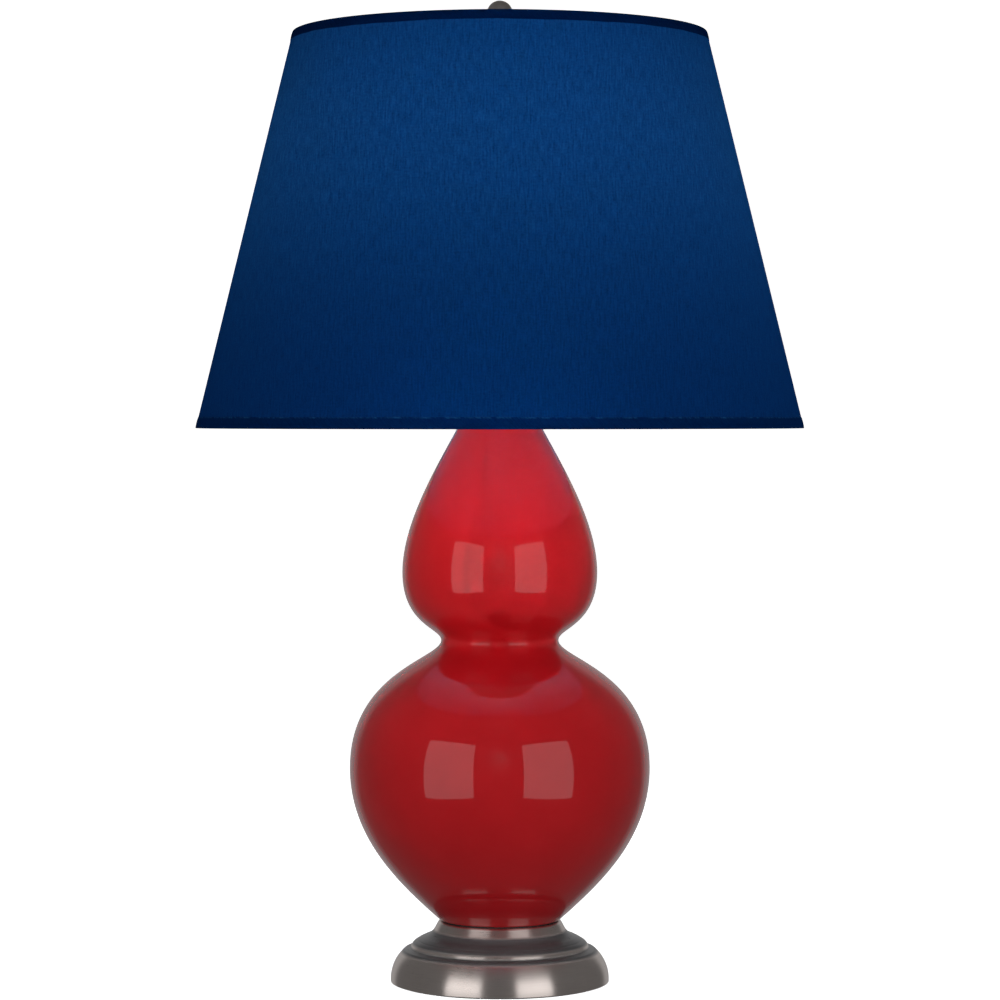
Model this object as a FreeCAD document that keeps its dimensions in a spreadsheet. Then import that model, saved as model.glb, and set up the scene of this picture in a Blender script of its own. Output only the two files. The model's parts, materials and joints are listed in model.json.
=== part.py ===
# Double gourd table lamp: ceramic body on a turned metal base, harp, cone shade and ball finial.
#
# The frame: millimetres, +Z up, the origin at the centre of the base on the table, the front
# towards -Y. The harp stands in the XZ plane and the cord inlet is at the rear, towards +Y.
# Every size lives once in the spreadsheet; each piece is bound to it by expressions.
import FreeCAD, Part
import Sketcher
import math
import os
import re

SIZES = {
    # clearances
    "seat_gap": 0.3,           # between two pieces that rest on each other and can part
    "thread_gap": 0.1,         # round a thread in its nut or tapped hole
    "hole_gap": 0.25,          # round a shank in a plain hole
    "sleeve_gap": 0.3,         # round what a sleeve slides on
    # metal base
    "base_height": 49.3,
    "foot_radius": 87.2,
    "rim_lift": 1.0,           # the metal rim stands this far above the table
    "foot_band": 2.9,          # height at which the quarter round starts
    "ledge_radius": 76.3,      # top of the quarter round
    "ledge_height": 26.5,
    "bead_radius": 71.2,
    "bead_height": 27.5,
    "bead_round": 8,
    "bead_top_radius": 65.6,
    "bead_top_height": 34,
    "crease_radius": 65,       # small step between the bead and the cove
    "crease_height": 34.7,
    "cove_foot_radius": 61,
    "cove_foot_height": 36.6,
    "cove_round": 14,
    "cove_top_radius": 52.4,
    "cove_top_height": 42.6,
    "collar_radius": 49.8,
    "collar_height": 47.4,
    "collar_round": 3.2,
    "collar_top_radius": 47.4,
    "base_wall": 3,
    "rim_wall": 1.6,           # thinner rim that the bottom cover lies inside
    "bead_inner_radius": 66.7, # inside corner under the bead
    "cord_hole_radius": 4.6,
    "cord_hole_height": 10,
    # under the base
    "felt_thickness": 2,
    "felt_inset": 1.5,
    "cover_thickness": 3,
    "bushing_bore": 3.2,
    "bushing_lip": 1.6,
    "bushing_lip_radius": 6.2,
    "bushing_length": 8,
    # tube and its hardware
    "pipe_radius": 5,
    "pipe_bore": 3.6,
    "pipe_tail": 3,            # thread left below the nut
    "pipe_reach": 8,           # thread inside the socket cap
    "clamp_radius": 21,
    "clamp_thickness": 2,
    "lock_radius": 9.5,
    "lock_thickness": 1,
    "lock_teeth": 10,
    "lock_notch": 1.5,
    "nut_flats": 14.3,
    "nut_height": 5,
    # ceramic body; heights are above its foot
    "gasket_thickness": 1,
    "gasket_inset": 1.2,
    "gasket_width": 6,
    "foot_gourd_radius": 48,
    "foot_slope": 48.5,        # degrees off the vertical
    "foot_handle": 46.4,
    "belly_radius": 119.9,
    "belly_height": 121.2,
    "belly_round": 119.4,
    "waist_radius": 47,
    "waist_height": 222.8,
    "waist_round": 4.5,
    "lobe_radius": 78,
    "lobe_height": 277.1,
    "lobe_round": 85.5,
    "neck_radius": 17,
    "neck_height": 432.7,
    "neck_round": 15,
    "gourd_wall": 5,
    "gourd_hole_radius": 8,
    # neck fittings
    "cap_radius": 20,
    "cap_lip": 2,
    "cap_height": 6,
    "cap_dome": 24,            # rounding of its upper face
    "cap_plug": 4,             # depth of the plug that centres the cap in the neck
    "spacer_radius": 9,
    "spacer_waist": 7,
    "spacer_height": 10,
    # harp saddle
    "saddle_thickness": 1.8,
    "saddle_span": 34,         # half distance over the two tabs
    "saddle_width": 15,
    "saddle_margin": 1.2,      # plate beyond the harp's feet
    "tab_width": 7,
    "tab_height": 12,
    # socket
    "socket_cap_radius": 17.4,
    "socket_cap_height": 14,
    "socket_cap_wall": 1.1,
    "socket_cap_dome": 14,     # rounding of its dome
    "socket_neck_radius": 8.5,
    "socket_neck_height": 5,
    "set_screw_radius": 1.4,
    "set_screw_length": 5,
    "shell_wall": 0.8,
    "shell_lap": 5,            # the shell goes this far into the cap
    "shell_height": 47,
    "shell_lip": 0.9,
    "shell_lip_height": 1.6,
    "insulator_wall": 0.6,
    "insulator_inset": 1.5,
    "phenolic_radius": 13.2,
    "phenolic_foot": 10,       # above the saddle
    "phenolic_height": 20,
    "phenolic_bore": 3,
    "switch_height": 22,       # axis of the turn switch above the saddle
    "thread_pitch": 3.63,
    "thread_turns": 6,
    "thread_depth": 0.55,
    "screw_shell_wall": 0.3,
    "contact_radius": 5,
    "contact_thickness": 0.6,
    "contact_rise": 2.2,
    "contact_margin": 1.5,     # round the contact, in the screw shell's floor
    "terminal_offset": 9,
    "terminal_head_radius": 2.6,
    "terminal_head": 1.8,
    "terminal_shank_radius": 1.5,
    "terminal_shank": 5,
    # turn switch
    "switch_shaft_radius": 1.6,
    "switch_shaft_length": 24,
    "switch_bore_depth": 9,    # of the phenolic body's hole from its outside
    "switch_collar_radius": 3,
    "switch_collar": 2.7,      # its length, ending at the shell's lip
    "knob_radius": 5.5,
    "knob_length": 11,
    "knob_foot_radius": 4.4,
    "knob_foot": 2.2,          # height of the slope from its foot to its full radius
    "knob_edge": 1.65,         # height of its rounded outer edge
    "knob_edge_round": 2.75,
    "knob_face_radius": 3.85,
    "knob_flutes": 12,
    "knob_flute_radius": 0.7,
    "knob_flute_offset": 0.14, # a flute's centre lies this far outside the knob
    # bulb
    "bulb_cap_radius": 13.1,
    "bulb_cap_height": 24,
    "bulb_cap_wall": 0.4,
    "bulb_tip_height": 3.2,
    "bulb_tip_radius": 4.8,
    "bulb_tip_flare": 1,       # its rim is wider than its face by this, and as thick
    "bulb_radius": 33.5,
    "bulb_height": 107,
    "bulb_neck_radius": 13.4,
    "bulb_taper": 25,          # degrees
    "bulb_taper_length": 20,
    "glass_wall": 0.9,
    "stem_flare": 9,           # height of the flare that is fused into the neck
    "stem_radius": 6,
    "stem_height": 62,
    "stem_top_radius": 2.2,
    "filament_radius": 12,
    "filament_wire": 0.7,
    # harp
    "harp_wire": 2,
    "harp_height": 242.6,      # its top wire's centreline above the saddle
    "harp_leg": 34,
    "harp_bulge": 56,
    "harp_bulge_height": 96,
    "harp_shoulder": 32,
    "harp_leg_round": 60,
    "harp_bulge_round": 150,
    "harp_shoulder_round": 27,
    "boss_radius": 6,
    "boss_height": 5,
    "ferrule_wall": 0.8,
    "ferrule_height": 10,
    "ferrule_round": 2,
    # swivel stud
    "stud_radius": 2.5,
    "stud_head_radius": 4.2,
    "stud_head": 1.4,
    "flange_radius": 7,
    "flange_thickness": 1.5,
    "post_radius": 3.1,
    "post_height": 12,
    # shade
    "shade_top_radius": 166,
    "shade_bottom_radius": 243,
    "shade_height": 315.8,
    "spider_drop": 10.4,       # the washer sits this far below the top rim
    "washer_radius": 13,
    "washer_thickness": 2,
    "arm_radius": 1.7,
    "arm_count": 3,
    "ring_wire": 1.6,
    "trim_thickness": 0.5,
    "top_trim_height": 7.5,
    "bottom_trim_height": 9,
    "fabric_thickness": 0.7,
    "liner_thickness": 0.5,
    # finial
    "ball_radius": 10.4,
    "ball_lift": 24,           # ball centre above the finial's foot
    "finial_foot_radius": 6.8,
    "finial_foot_height": 2.6,
    "finial_cove_height": 3.9, # where the rounding of the foot meets the neck
    "finial_neck_radius": 4.6,
    "finial_bore_depth": 11.5,
}

doc = FreeCAD.newDocument("double_gourd_lamp")
sheet = doc.addObject("Spreadsheet::Sheet", "sizes")
for row, (alias, value) in enumerate(SIZES.items(), 1):
    sheet.set(f"A{row}", alias)
    sheet.set(f"B{row}", str(value))
    sheet.setAlias(f"B{row}", alias)
doc.recompute()

FUNCTIONS = ("sqrt", "sin", "cos", "atan")


def bound(text):
    """The text with each size's name pointed at the spreadsheet."""
    def cell(found):
        word = found.group(0)
        return word if word in FUNCTIONS else "sizes." + word
    return re.sub(r"(?<![\w.])[a-z_]\w*", cell, str(text))


def number(text):
    """What an expression comes to with the present sizes."""
    result = sheet.evalExpression(bound(text))
    return float(getattr(result, "Value", result))


# ---------------------------------------------------------------- heights and places
COVER_TOP = "(felt_thickness+cover_thickness)"
PLATE_UNDER = "(base_height-base_wall)"
CLAMP_UNDER = f"({PLATE_UNDER}-clamp_thickness)"
LOCK_UNDER = f"({CLAMP_UNDER}-lock_thickness)"
NUT_UNDER = f"({LOCK_UNDER}-nut_height)"
PIPE_FOOT = f"({NUT_UNDER}-pipe_tail)"
GOURD_FOOT = "(base_height+gasket_thickness)"
GOURD_TOP = f"({GOURD_FOOT}+neck_height)"
SPACER_FOOT = f"({GOURD_TOP}+cap_height)"
SADDLE_FOOT = f"({SPACER_FOOT}+spacer_height)"
SADDLE_TOP = f"({SADDLE_FOOT}+saddle_thickness)"
SHELL_FOOT = f"({SADDLE_TOP}+socket_cap_height-shell_lap)"
SCREW_SHELL_FOOT = f"({SADDLE_TOP}+phenolic_foot+phenolic_height)"
CONTACT_TOP = f"({SCREW_SHELL_FOOT}+contact_rise)"
BULB_FOOT = f"({CONTACT_TOP}+seat_gap)"
BULB_CAP_FOOT = f"({BULB_FOOT}+bulb_tip_height)"
GLASS_FOOT = f"({BULB_CAP_FOOT}+bulb_cap_height)"
HARP_TOP = f"({SADDLE_TOP}+harp_height)"
BOSS_TOP = f"({HARP_TOP}+boss_height/2)"
FLANGE_FOOT = f"({BOSS_TOP}+seat_gap)"
WASHER_FOOT = f"({FLANGE_FOOT}+flange_thickness+seat_gap)"
FINIAL_FOOT = f"({WASHER_FOOT}+washer_thickness+seat_gap)"
SHADE_TOP = f"({WASHER_FOOT}+spider_drop)"
SHADE_FOOT = f"({SHADE_TOP}-shade_height)"
SHELL_RADIUS = "(socket_cap_radius-socket_cap_wall-thread_gap)"
INSULATOR_RADIUS = f"({SHELL_RADIUS}-shell_wall-thread_gap)"
HARP_FOOT_X = "(saddle_span+sleeve_gap+harp_wire)"
OVOLO_ROUND = (
    "(((foot_radius-ledge_radius)^2+(ledge_height-foot_band)^2)/(2*(foot_radius-ledge_radius)))"
)


# ---------------------------------------------------------------- sketch and feature helpers
def plane(body, role):
    return [f for f in body.Origin.OriginFeatures if f.Role == role][0]


def new_sketch(body, role, name):
    sketch = body.newObject("Sketcher::SketchObject", name)
    sketch.AttachmentSupport = (plane(body, role), [""])
    sketch.MapMode = "FlatFace"
    return sketch


def bind(sketch, constraint, text):
    index = sketch.addConstraint(constraint)
    sketch.setExpression(f"Constraints[{index}]", bound(text))


def pin(sketch, edge, end, across, up):
    """Ties a sketch point to its two coordinates."""
    if abs(number(across)) < 1e-9:
        sketch.addConstraint(Sketcher.Constraint("PointOnObject", edge, end, -2))
    else:
        bind(sketch, Sketcher.Constraint("DistanceX", -1, 1, edge, end, number(across)), across)
    if abs(number(up)) < 1e-9:
        sketch.addConstraint(Sketcher.Constraint("PointOnObject", edge, end, -1))
    else:
        bind(sketch, Sketcher.Constraint("DistanceY", -1, 1, edge, end, number(up)), up)


def flat(point):
    return FreeCAD.Vector(number(point[0]), number(point[1]), 0)


def draw_line(sketch, start, finish):
    edge = sketch.addGeometry(Part.LineSegment(flat(start), flat(finish)), False)
    return edge, 1, 2


def draw_arc(sketch, start, finish, radius, turn):
    """An arc of under half a circle; turn is left or right of the way from start to finish."""
    a, b, r = flat(start), flat(finish), number(radius)
    side = 1 if turn == "left" else -1
    chord = b - a
    rise = math.sqrt(max(r * r - chord.Length ** 2 / 4, 0))
    normal = FreeCAD.Vector(-chord.y, chord.x, 0).normalize() * side
    centre = (a + b) * 0.5 + normal * rise
    first, last = (a, b) if side > 0 else (b, a)
    begin = math.atan2(first.y - centre.y, first.x - centre.x)
    end = math.atan2(last.y - centre.y, last.x - centre.x)
    if end < begin:
        end += 2 * math.pi
    circle = Part.Circle(centre, FreeCAD.Vector(0, 0, 1), r)
    edge = sketch.addGeometry(Part.ArcOfCircle(circle, begin, end), False)
    bind(sketch, Sketcher.Constraint("Radius", edge, r), radius)
    return (edge, 1, 2) if side > 0 else (edge, 2, 1)


def draw_bend(sketch, start, leave, arrive, finish):
    """A cubic span between two points, with its two inner poles."""
    poles = [flat(p) for p in (start, leave, arrive, finish)]
    curve = Part.BSplineCurve()
    curve.buildFromPolesMultsKnots(poles, [4, 4], [0, 1], False, 3)
    edge = sketch.addGeometry(curve, False)
    sketch.exposeInternalGeometry(edge)
    pin(sketch, edge + 2, 3, *leave)
    pin(sketch, edge + 3, 3, *arrive)
    return edge, 1, 2


def outline(sketch, points):
    """A closed outline. Each point is (across, up) and may end with how its span goes on:
    ("arc", radius, turn) or ("bend", leaving pole, arriving pole)."""
    spans = []
    for here, after in zip(points, points[1:] + points[:1]):
        start, finish, way = here[:2], after[:2], here[2:]
        if not way:
            spans.append(draw_line(sketch, start, finish))
        elif way[0][0] == "arc":
            spans.append(draw_arc(sketch, start, finish, way[0][1], way[0][2]))
        else:
            spans.append(draw_bend(sketch, start, way[0][1], way[0][2], finish))
    for (edge, start, _), point in zip(spans, points):
        pin(sketch, edge, start, *point[:2])
    for (edge, _, end), (after, start, _) in zip(spans, spans[1:] + spans[:1]):
        sketch.addConstraint(Sketcher.Constraint("Coincident", edge, end, after, start))


def place(piece, z="0", x="0", y="0", axis=(0, 0, 1), angle=0):
    piece.Placement = FreeCAD.Placement(FreeCAD.Vector(), FreeCAD.Rotation(FreeCAD.Vector(*axis), angle))
    for letter, text in zip("xyz", (x, y, z)):
        if text != "0":
            piece.setExpression(f"Placement.Base.{letter}", bound(text))
    return piece


def new_body(label):
    body = doc.addObject("PartDesign::Body", label)
    body.Label = label
    return body


def turned(label, points, z="0", **where):
    """A piece turned about its own Z axis, its outline given as (radius, height) points."""
    body = new_body(label)
    sketch = new_sketch(body, "XZ_Plane", f"{label}_outline")
    outline(sketch, points)
    turn = body.newObject("PartDesign::Revolution", f"{label}_turned")
    turn.Profile = sketch
    turn.ReferenceAxis = (sketch, ["V_Axis"])
    turn.Angle = 360
    body.Tip = turn
    return place(body, z, **where)


def ring(outer, inner, height, foot="0"):
    """The outline of a plain washer or tube."""
    top = f"({foot})+({height})"
    return [(inner, foot), (outer, foot), (outer, top), (inner, top)]


def circle_on(sketch, radius, across="0", up="0"):
    centre = FreeCAD.Vector(number(across), number(up), 0)
    edge = sketch.addGeometry(Part.Circle(centre, FreeCAD.Vector(0, 0, 1), number(radius)), False)
    bind(sketch, Sketcher.Constraint("Radius", edge, number(radius)), radius)
    pin(sketch, edge, 3, across, up)


def box_on(sketch, left, right, low, high):
    outline(sketch, [(left, low), (right, low), (right, high), (left, high)])


def cut(body, sketch, both=False, towards_front=False, depth=None):
    """A pocket through the piece, or to a depth. It has to take something away."""
    before = whole_volume(body)
    pocket = body.newObject("PartDesign::Pocket", f"{sketch.Name}_cut")
    pocket.Profile = sketch
    pocket.Type = "Length" if depth else "ThroughAll"
    if depth:
        pocket.setExpression("Length", bound(depth))
    pocket.SideType = "Symmetric" if both else "One side"
    pocket.Reversed = towards_front
    body.Tip = pocket
    if whole_volume(body) > before - 1e-6:
        raise RuntimeError(f"{sketch.Name} cuts nothing")
    return pocket


def whole_volume(body):
    doc.recompute()
    return body.Shape.Volume


def side_hole(body, name, radius, height, towards_front):
    sketch = new_sketch(body, "XZ_Plane", name)
    circle_on(sketch, radius, up=height)
    return cut(body, sketch, towards_front=towards_front)


def repeat(body, feature, sketch, count):
    """Repeats a cut evenly round the piece's axis."""
    before = whole_volume(body)
    pattern = body.newObject("PartDesign::PolarPattern", f"{feature.Name}_pattern")
    pattern.Originals = [feature]
    pattern.Axis = (sketch, ["N_Axis"])
    pattern.Angle = 360
    pattern.setExpression("Occurrences", bound(count))
    body.Tip = pattern
    if whole_volume(body) > before - 1e-6:
        raise RuntimeError(f"{pattern.Name} repeats nothing")


def pad(body, sketch, length, both=False):
    feature = body.newObject("PartDesign::Pad", f"{sketch.Name}_pad")
    feature.Profile = sketch
    feature.SideType = "Symmetric" if both else "One side"
    feature.setExpression("Length", bound(length))
    body.Tip = feature
    doc.recompute()
    return feature


def round_edges(body, name, radius, direction):
    """Rounds the straight edges that run along a direction."""
    doc.recompute()
    names = []
    for index, edge in enumerate(body.Shape.Edges, 1):
        straight = edge.Curve.TypeId == "Part::GeomLine"
        if straight and abs(edge.tangentAt(edge.FirstParameter).dot(direction)) > 0.999:
            names.append(f"Edge{index}")
    base = body.Tip
    fillet = body.newObject("PartDesign::Fillet", name)
    fillet.Base = (base, names)
    fillet.setExpression("Radius", bound(radius))
    body.Tip = fillet


def primitive(kind, name, z="0", x="0", y="0", axis=(0, 0, 1), angle=0, **sizes):
    piece = doc.addObject(kind, name)
    piece.Label = name
    for size, text in sizes.items():
        piece.setExpression(size, bound(text))
    return place(piece, z, x, y, axis, angle)


# ---------------------------------------------------------------- metal base and what is in it
def base_inner_radius(height):
    """Inside radius of the base wall under the quarter round, at a height."""
    centre = f"(foot_radius-{OVOLO_ROUND})"
    return f"({centre}+sqrt(({OVOLO_ROUND}-base_wall)^2-({height}-foot_band)^2))"


def make_metal_base():
    rim_radius = "(foot_radius-rim_wall)"
    under_ledge = "(ledge_height-base_wall)"
    body = turned("metal_base", [
        (rim_radius, "rim_lift"),
        ("foot_radius", "rim_lift"),
        ("foot_radius", "foot_band", ("arc", OVOLO_ROUND, "left")),
        ("ledge_radius", "ledge_height"),
        ("bead_radius", "bead_height", ("arc", "bead_round", "left")),
        ("bead_top_radius", "bead_top_height"),
        ("crease_radius", "crease_height"),
        ("cove_foot_radius", "cove_foot_height", ("arc", "cove_round", "right")),
        ("cove_top_radius", "cove_top_height"),
        ("collar_radius", "collar_height", ("arc", "collar_round", "left")),
        ("collar_top_radius", "base_height"),
        ("pipe_radius+hole_gap", "base_height"),
        ("pipe_radius+hole_gap", PLATE_UNDER),
        ("collar_radius-base_wall", PLATE_UNDER),
        ("cove_top_radius-base_wall", "cove_top_height-base_wall/2"),
        ("cove_foot_radius-base_wall/2", "cove_foot_height-base_wall"),
        ("bead_inner_radius", under_ledge),
        (base_inner_radius(under_ledge), under_ledge, ("arc", f"({OVOLO_ROUND}-base_wall)", "right")),
        (base_inner_radius(COVER_TOP), COVER_TOP),
        (rim_radius, COVER_TOP),
    ])
    side_hole(body, "cord_hole", "cord_hole_radius+hole_gap", "cord_hole_height", False)
    return body


def make_under_base():
    cover_radius = "(foot_radius-rim_wall-seat_gap)"
    return [
        turned("felt_pad", [
            ("0", "0"), (f"{cover_radius}-felt_inset", "0"),
            (f"{cover_radius}-felt_inset", "felt_thickness"), ("0", "felt_thickness"),
        ]),
        turned("bottom_cover", [
            ("0", "0"), (cover_radius, "0"), (cover_radius, "cover_thickness"), ("0", "cover_thickness"),
        ], z="felt_thickness"),
    ]


def make_cord_bushing():
    """Lipped sleeve in the rear hole; it points outwards, towards +Y."""
    lip_foot = "(bushing_length-bushing_lip)"
    return turned("cord_bushing", [
        ("bushing_bore", "0"),
        ("cord_hole_radius", "0"),
        ("cord_hole_radius", lip_foot),
        ("bushing_lip_radius", lip_foot),
        ("bushing_lip_radius", "bushing_length-bushing_lip/2", ("arc", "bushing_lip", "left")),
        ("bushing_lip_radius-bushing_lip/2", "bushing_length"),
        ("bushing_bore", "bushing_length"),
    ], z="cord_hole_height", y=f"foot_radius+thread_gap-{lip_foot}", axis=(1, 0, 0), angle=-90)


def make_pipe_hardware():
    hole = "(pipe_radius+thread_gap)"
    clamp = turned("clamp_washer", ring("clamp_radius", "pipe_radius+hole_gap", "clamp_thickness"),
                   z=CLAMP_UNDER)
    lock = turned("lock_washer", ring("lock_radius", hole, "lock_thickness"), z=LOCK_UNDER)
    notch = new_sketch(lock, "XY_Plane", "lock_notch_outline")
    circle_on(notch, "lock_notch", across="lock_radius")
    first = cut(lock, notch, both=True)
    repeat(lock, first, notch, "lock_teeth")
    prism = primitive("Part::Prism", "nut_blank", Circumradius="nut_flats/(2*cos(30))", Height="nut_height")
    bore = primitive("Part::Cylinder", "nut_bore", Radius=hole, Height="nut_height")
    nut = doc.addObject("Part::Cut", "pipe_nut")
    nut.Base = prism
    nut.Tool = bore
    place(nut, NUT_UNDER)
    pipe = turned("lamp_pipe", ring("pipe_radius", "pipe_bore", f"{SADDLE_TOP}+pipe_reach-{PIPE_FOOT}"),
                  z=PIPE_FOOT)
    return [clamp, lock, nut, pipe]


# ---------------------------------------------------------------- ceramic body
def handle(rounding, drop):
    """How far a pole stands from an upright station for the outline to have that radius there."""
    return f"sqrt(2*({rounding})*({drop})/3)"


def gourd_outline(inset):
    """The bends from the foot up to the neck, moved in by the wall."""
    foot = (f"foot_gourd_radius-({inset})*cos(foot_slope)", f"({inset})*sin(foot_slope)")
    foot_pole = (f"{foot[0]}+foot_handle*sin(foot_slope)", f"{foot[1]}+foot_handle*cos(foot_slope)")
    belly = ("belly_radius", "belly_height", f"belly_round-({inset})")
    waist = ("waist_radius", "waist_height", f"waist_round+({inset})")
    lobe = ("lobe_radius", "lobe_height", f"lobe_round-({inset})")
    neck = ("neck_radius", "neck_height", f"neck_round+({inset})")

    def pole(station, drop, sign):
        return (f"{station[0]}-({inset})", f"{station[1]}{sign}{handle(station[2], drop)}")

    belly_drop = f"belly_radius-({inset})-({foot_pole[0]})"
    waist_drop = "belly_radius-waist_radius"
    lobe_drop = "lobe_radius-waist_radius"
    neck_drop = "lobe_radius-neck_radius"
    points = [foot + (("bend", foot_pole, pole(belly, belly_drop, "-")),)]
    for low, high, drop in ((belly, waist, waist_drop), (waist, lobe, lobe_drop), (lobe, neck, neck_drop)):
        start = (f"{low[0]}-({inset})", low[1])
        points.append(start + (("bend", pole(low, drop, "+"), pole(high, drop, "-")),))
    points.append((f"neck_radius-({inset})", "neck_height"))
    return points


def downwards(points):
    """The same bends, listed from the neck down to the foot."""
    turned_round = [points[-1][:2]]
    for here in reversed(points[:-1]):
        way = here[2]
        turned_round[-1] = turned_round[-1] + (("bend", way[2], way[1]),)
        turned_round.append(here[:2])
    return turned_round


def make_gourd():
    floor = "gourd_wall*sin(foot_slope)"
    points = gourd_outline("0") + downwards(gourd_outline("gourd_wall"))
    points += [("gourd_hole_radius", floor), ("gourd_hole_radius", "0")]
    return turned("gourd_body", points, z=GOURD_FOOT)


def make_gasket():
    outer = "foot_gourd_radius-gasket_inset"
    return turned("base_gasket", ring(outer, f"{outer}-gasket_width", "gasket_thickness"), z="base_height")


# ---------------------------------------------------------------- neck fittings and socket
def make_neck_fittings():
    bore = "(pipe_radius+hole_gap)"
    plug = "(neck_radius-gourd_wall-hole_gap)"
    cap = turned("vase_cap", [
        (bore, "0-cap_plug"),
        (plug, "0-cap_plug"),
        (plug, "0"),
        ("cap_radius", "0"),
        ("cap_radius", "cap_lip", ("arc", "cap_dome", "left")),
        ("spacer_radius", "cap_height"),
        (bore, "cap_height"),
    ], z=GOURD_TOP)
    spacer = turned("neck_spacer", [
        (bore, "0"),
        ("spacer_radius", "0", ("arc", "spacer_height", "left")),
        ("spacer_waist", "spacer_height/2", ("arc", "spacer_height", "left")),
        ("spacer_radius", "spacer_height"),
        (bore, "spacer_height"),
    ], z=SPACER_FOOT)
    return [cap, spacer]


def make_saddle():
    """Strap under the socket, with two upturned tabs that stand inside the harp's feet."""
    half_plate = f"({HARP_FOOT_X}+harp_wire+saddle_margin)"
    tab_inner = "(saddle_span-saddle_thickness)"
    body = new_body("harp_saddle")
    plate = new_sketch(body, "XY_Plane", "saddle_plate")
    box_on(plate, f"0-{half_plate}", half_plate, "0-saddle_width/2", "saddle_width/2")
    pad(body, plate, "saddle_thickness")
    for side, (near, far) in {"left": (f"0-{tab_inner}", "0-saddle_span"),
                              "right": (tab_inner, "saddle_span")}.items():
        tab = new_sketch(body, "XZ_Plane", f"saddle_{side}_tab")
        box_on(tab, near, far, "0", "saddle_thickness+tab_height")
        pad(body, tab, "tab_width", both=True)
    hole = new_sketch(body, "XY_Plane", "saddle_hole")
    circle_on(hole, "pipe_radius+hole_gap")
    cut(body, hole, both=True)
    return place(body, SADDLE_FOOT)


def make_socket_cap():
    wall = "socket_cap_wall"
    bore = "(pipe_radius+thread_gap)"
    rise = "(socket_cap_height-socket_neck_height)"
    body = turned("socket_cap", [
        (bore, "0"),
        ("socket_neck_radius", "0"),
        ("socket_neck_radius", "socket_neck_height", ("arc", "socket_cap_dome", "left")),
        ("socket_cap_radius", "socket_cap_height-shell_lap"),
        ("socket_cap_radius", "socket_cap_height"),
        (f"socket_cap_radius-{wall}", "socket_cap_height"),
        (f"socket_cap_radius-{wall}", "socket_cap_height-shell_lap"),
        (f"socket_neck_radius+{wall}", f"socket_neck_height+{wall}"),
        (f"pipe_radius+{wall}", "pipe_reach-thread_gap"),
        (bore, "pipe_reach-thread_gap"),
    ], z=SADDLE_TOP)
    side_hole(body, "set_screw_hole", "set_screw_radius+thread_gap", "socket_neck_height/2", False)
    screw = turned("set_screw", [
        ("0", "0"), ("set_screw_radius", "0"), ("set_screw_radius", "set_screw_length"),
        ("0", "set_screw_length"),
    ], z=f"{SADDLE_TOP}+socket_neck_height/2", y="pipe_radius+thread_gap", axis=(1, 0, 0), angle=-90)
    return [body, screw]


def make_socket_shell():
    inner = f"({SHELL_RADIUS}-shell_wall)"
    lip = f"({SHELL_RADIUS}+shell_lip)"
    shell = turned("socket_shell", [
        (inner, "0"),
        (SHELL_RADIUS, "0"),
        (SHELL_RADIUS, "shell_height-shell_lip_height"),
        (lip, "shell_height-shell_lip_height", ("arc", "shell_lip", "left")),
        (lip, "shell_height"),
        (inner, "shell_height"),
    ], z=SHELL_FOOT)
    shaft_height = f"({SADDLE_TOP}+switch_height-{SHELL_FOOT})"
    side_hole(shell, "shell_switch_hole", "switch_collar_radius+sleeve_gap", shaft_height, True)
    sleeve = turned("socket_insulator", ring(
        INSULATOR_RADIUS, f"{INSULATOR_RADIUS}-insulator_wall", "shell_height-insulator_inset",
    ), z=SHELL_FOOT)
    side_hole(sleeve, "insulator_switch_hole", "switch_collar_radius+sleeve_gap", shaft_height, True)
    return [shell, sleeve]


def make_phenolic():
    """Moulded body inside the shell: it holds the switch and carries the screw shell."""
    body = turned("socket_body", ring("phenolic_radius", "phenolic_bore", "phenolic_height"),
                  z=f"{SADDLE_TOP}+phenolic_foot")
    side_hole(body, "shaft_hole", "switch_shaft_radius+sleeve_gap", "switch_height-phenolic_foot", True)
    for side in (-1, 1):
        sketch = new_sketch(body, "XY_Plane", f"terminal_hole_{'left' if side < 0 else 'right'}")
        circle_on(sketch, "terminal_shank_radius+thread_gap", across=f"{side}*terminal_offset")
        cut(body, sketch, depth="0-terminal_shank")
    return body


def make_terminal_screws():
    screws = []
    for side in (-1, 1):
        name = "left" if side < 0 else "right"
        head = primitive("Part::Cylinder", f"terminal_head_{name}", x=f"{side}*terminal_offset",
                         Radius="terminal_head_radius", Height="terminal_head")
        shank = primitive("Part::Cylinder", f"terminal_shank_{name}", x=f"{side}*terminal_offset",
                          z="terminal_head", Radius="terminal_shank_radius",
                          Height="terminal_shank-thread_gap")
        screw = doc.addObject("Part::Fuse", f"terminal_screw_{name}")
        screw.Base = head
        screw.Tool = shank
        screws.append(screw)
    group = doc.addObject("Part::Compound", "terminal_screws")
    group.Links = screws
    return place(group, f"{SADDLE_TOP}+phenolic_foot-terminal_head")


def thread_wave(crest, turns="thread_turns"):
    """Rolled thread as rings, half a pitch between crest and root, from the foot up."""
    count = int(round(number(turns)))
    points = []
    for step in range(2 * count + 1):
        radius = crest if step % 2 else f"{crest}+thread_depth"
        points.append((radius, f"{step}*thread_pitch/2"))
    return points


def make_screw_shell():
    inner = thread_wave("(bulb_cap_radius+seat_gap)")
    outer = [(f"{radius}+screw_shell_wall", height) for radius, height in inner]
    floor = "screw_shell_wall"
    points = outer + list(reversed(inner))[:-1]
    hole = "(contact_radius+contact_margin)"
    points += [(inner[0][0], floor), (hole, floor), (hole, "0")]
    return turned("screw_shell", points, z=SCREW_SHELL_FOOT)


def make_contact():
    """Sprung brass button at the bottom of the screw shell."""
    return turned("center_contact", [
        ("0", "0"),
        ("contact_radius", "0"),
        ("contact_radius", "contact_thickness"),
        ("contact_radius/2", "contact_rise"),
        ("0", "contact_rise"),
    ], z=SCREW_SHELL_FOOT)


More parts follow.
